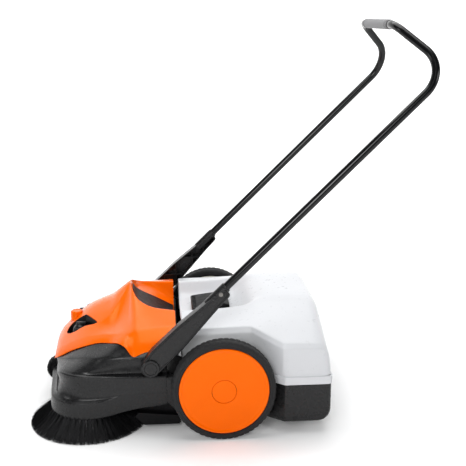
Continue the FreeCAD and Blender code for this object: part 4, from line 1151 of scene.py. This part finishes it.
def build_arms():
    shell = arm_shell("left_arm_shell")
    collar = [along_tube(step, TUBE_Y) for step in (-13, 20, 53, 57)]
    socket = tube("socket", collar, TUBE_R + 3.0)
    boss = lathe("boss", [(16, ARM_IN + 0.2), (16, ARM_OUT - 3), (10.2, ARM_OUT - 3), (10.2, ARM_IN + 0.2)],
                 PIVOT, steps=64)
    left = joined("left_arm_visual", [shell, socket, boss])
    both_sides(left, "dark_grey_plastic", "push_handle", "left_arm")

    section = ((0, -3.4), (15.6, -3.4), (16.2, -2.7), (17.0, -2.7), (17.6, -3.9), (20.6, -4.6),
               (22.6, -4.2), (23.7, -3.0), (24, -0.6), (24, 0), (0, 0))
    cap = lathe("cap", behind(ARM_OUT, section), PIVOT)
    caps = joined("pivot_caps_visual", [mirrored(cap, "cap_mirror"), cap])
    finished(caps, "dark_grey_plastic", "push_handle", ["pivot_caps"])


def build_handle():
    run_out = Vector((GRIP.x, GRIP_CORNER_Y, GRIP.z))
    path = rounded_path([along_tube(0, TUBE_Y), Vector((TUBE_BEND.x, TUBE_Y, TUBE_BEND.z)), run_out,
                         Vector((GRIP.x, 0.3, GRIP.z))], [82, 60])
    both_sides(tube("left_handle_tube_visual", path, TUBE_R), "black_tube", "push_handle", "left_handle_tube")

    low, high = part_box("grip_sleeve")
    end = high.y / MM
    reach = (high.z - low.z) / 2 / MM - 0.1
    lip = [(TUBE_R + 0.1, end - 0.2), (TUBE_R + 1.2, end - 0.2), (reach - 0.5, end - 1.6), (reach, end - 4)]
    profile = [(radius, -y) for radius, y in lip]
    for start in (-end + 9, end - 21):
        for groove in range(4):
            y = start + groove * 4
            profile += [(reach, y - 1), (reach - 0.7, y - 0.3), (reach - 0.7, y + 0.3), (reach, y + 1)]
    profile += reversed(lip)
    sleeve = lathe("grip_sleeve_visual", profile, GRIP, steps=72)
    finished(sleeve, "grey_grip", "push_handle", ["grip_sleeve"])


# ---- studio ---------------------------------------------------------------------------------
CAMERA_AT = (157, 2475, 1116)            # from the axle's point on the floor
LOOKING = Vector((-0.0818, -0.9658, -0.2460))
LENS_MM = 67.0
FILM_MM = 36.0
LAMPS = (                # name, place, target, the side that points up, length and width in metres, power
    ("strip", (0.0, 1.6, 3.0), (0.0, 0.0, 0.3), "X", 4.0, 0.10, 7),
    ("overhead", (0.0, -0.3, 2.8), (0.0, 0.0, 0.0), "Y", 2.4, 2.4, 62),
    ("front", (1.1, 3.2, 1.9), (0.0, 0.0, 0.2), "Y", 1.3, 1.3, 50),
    ("nose", (3.2, 0.7, 1.5), (0.2, 0.0, 0.25), "Y", 0.9, 0.9, 12),
    ("tail", (-2.8, 1.4, 1.6), (-0.2, 0.0, 0.3), "Y", 1.0, 1.0, 16),
)


def backdrop():
    """Pale floor that sweeps up behind the sweeper into a pale wall, in metres."""
    bend, radius = -3.0, 2.2
    profile = [(9.0, 0.0), (4.0, 0.0), (0.0, 0.0), (bend, 0.0)]
    for step in range(1, 13):
        out, up = polar(radius, math.radians(90 * step / 12))
        profile.append((bend - up, radius - out))
    profile.append((bend - radius, 9.0))
    rows = [[Vector((x, y, z)) for x in (-12.0, -4.0, 4.0, 12.0)] for y, z in profile]
    sweep = grid("studio_floor", rows)
    pale = Surface("pale_floor")
    pale.inputs["Base Color"].default_value = (0.88, 0.88, 0.88, 1)
    pale.inputs["Roughness"].default_value = 0.8
    pale.inputs["Emission Color"].default_value = (1, 1, 1, 1)
    axes = pale.node("ShaderNodeSeparateXYZ", Vector=pale.place)
    brighter = pale.node("ShaderNodeMath")
    brighter.operation = "MAXIMUM"
    for socket, (near, far, most) in zip(brighter.inputs, ((-0.6, -3.2, 0.95), (0.42, 0.9, 0.45))):
        values = {"From Min": near, "From Max": far, "To Min": 0.08, "To Max": most}
        glow = pale.node("ShaderNodeMapRange", values, Value=axes.outputs["Y"])
        pale.tree.links.new(glow.outputs["Result"], socket)
    pale.lead(brighter.outputs["Value"], "Emission Strength")
    sweep.data.materials.append(MATERIALS["pale_floor"])
    sweep.data.shade_smooth()
    return sweep


def studio():
    scene = bpy.context.scene
    camera = bpy.data.cameras.new("camera")
    camera.lens = LENS_MM
    camera.sensor_width = FILM_MM
    camera.clip_end = 100
    viewer = linked("camera", camera)
    viewer.location = at(*CAMERA_AT)
    viewer.rotation_euler = LOOKING.to_track_quat("-Z", "Y").to_euler()
    scene.camera = viewer

    backdrop()

    world = bpy.data.worlds.new("studio")
    world.use_nodes = True
    sky = world.node_tree.nodes["Background"].inputs
    sky["Color"].default_value = (0.96, 0.98, 1.0, 1)
    sky["Strength"].default_value = 0.14
    scene.world = world

    for name, place, target, up, length, width, power in LAMPS:
        light = bpy.data.lights.new(name, "AREA")
        light.shape = "RECTANGLE"
        light.size = length
        light.size_y = width
        light.energy = power
        lamp = linked(name, light)
        lamp.location = place
        lamp.rotation_euler = (Vector(target) - Vector(place)).to_track_quat("-Z", up).to_euler()
    scene.view_settings.view_transform = "Standard"


# ---- the sweeper ----------------------------------------------------------------------------
paint_frame()
both_wheels()
build_hood()
build_shroud()
build_hopper()
build_disc_brushes()
build_roller_brush()
build_arms()
build_handle()
studio()
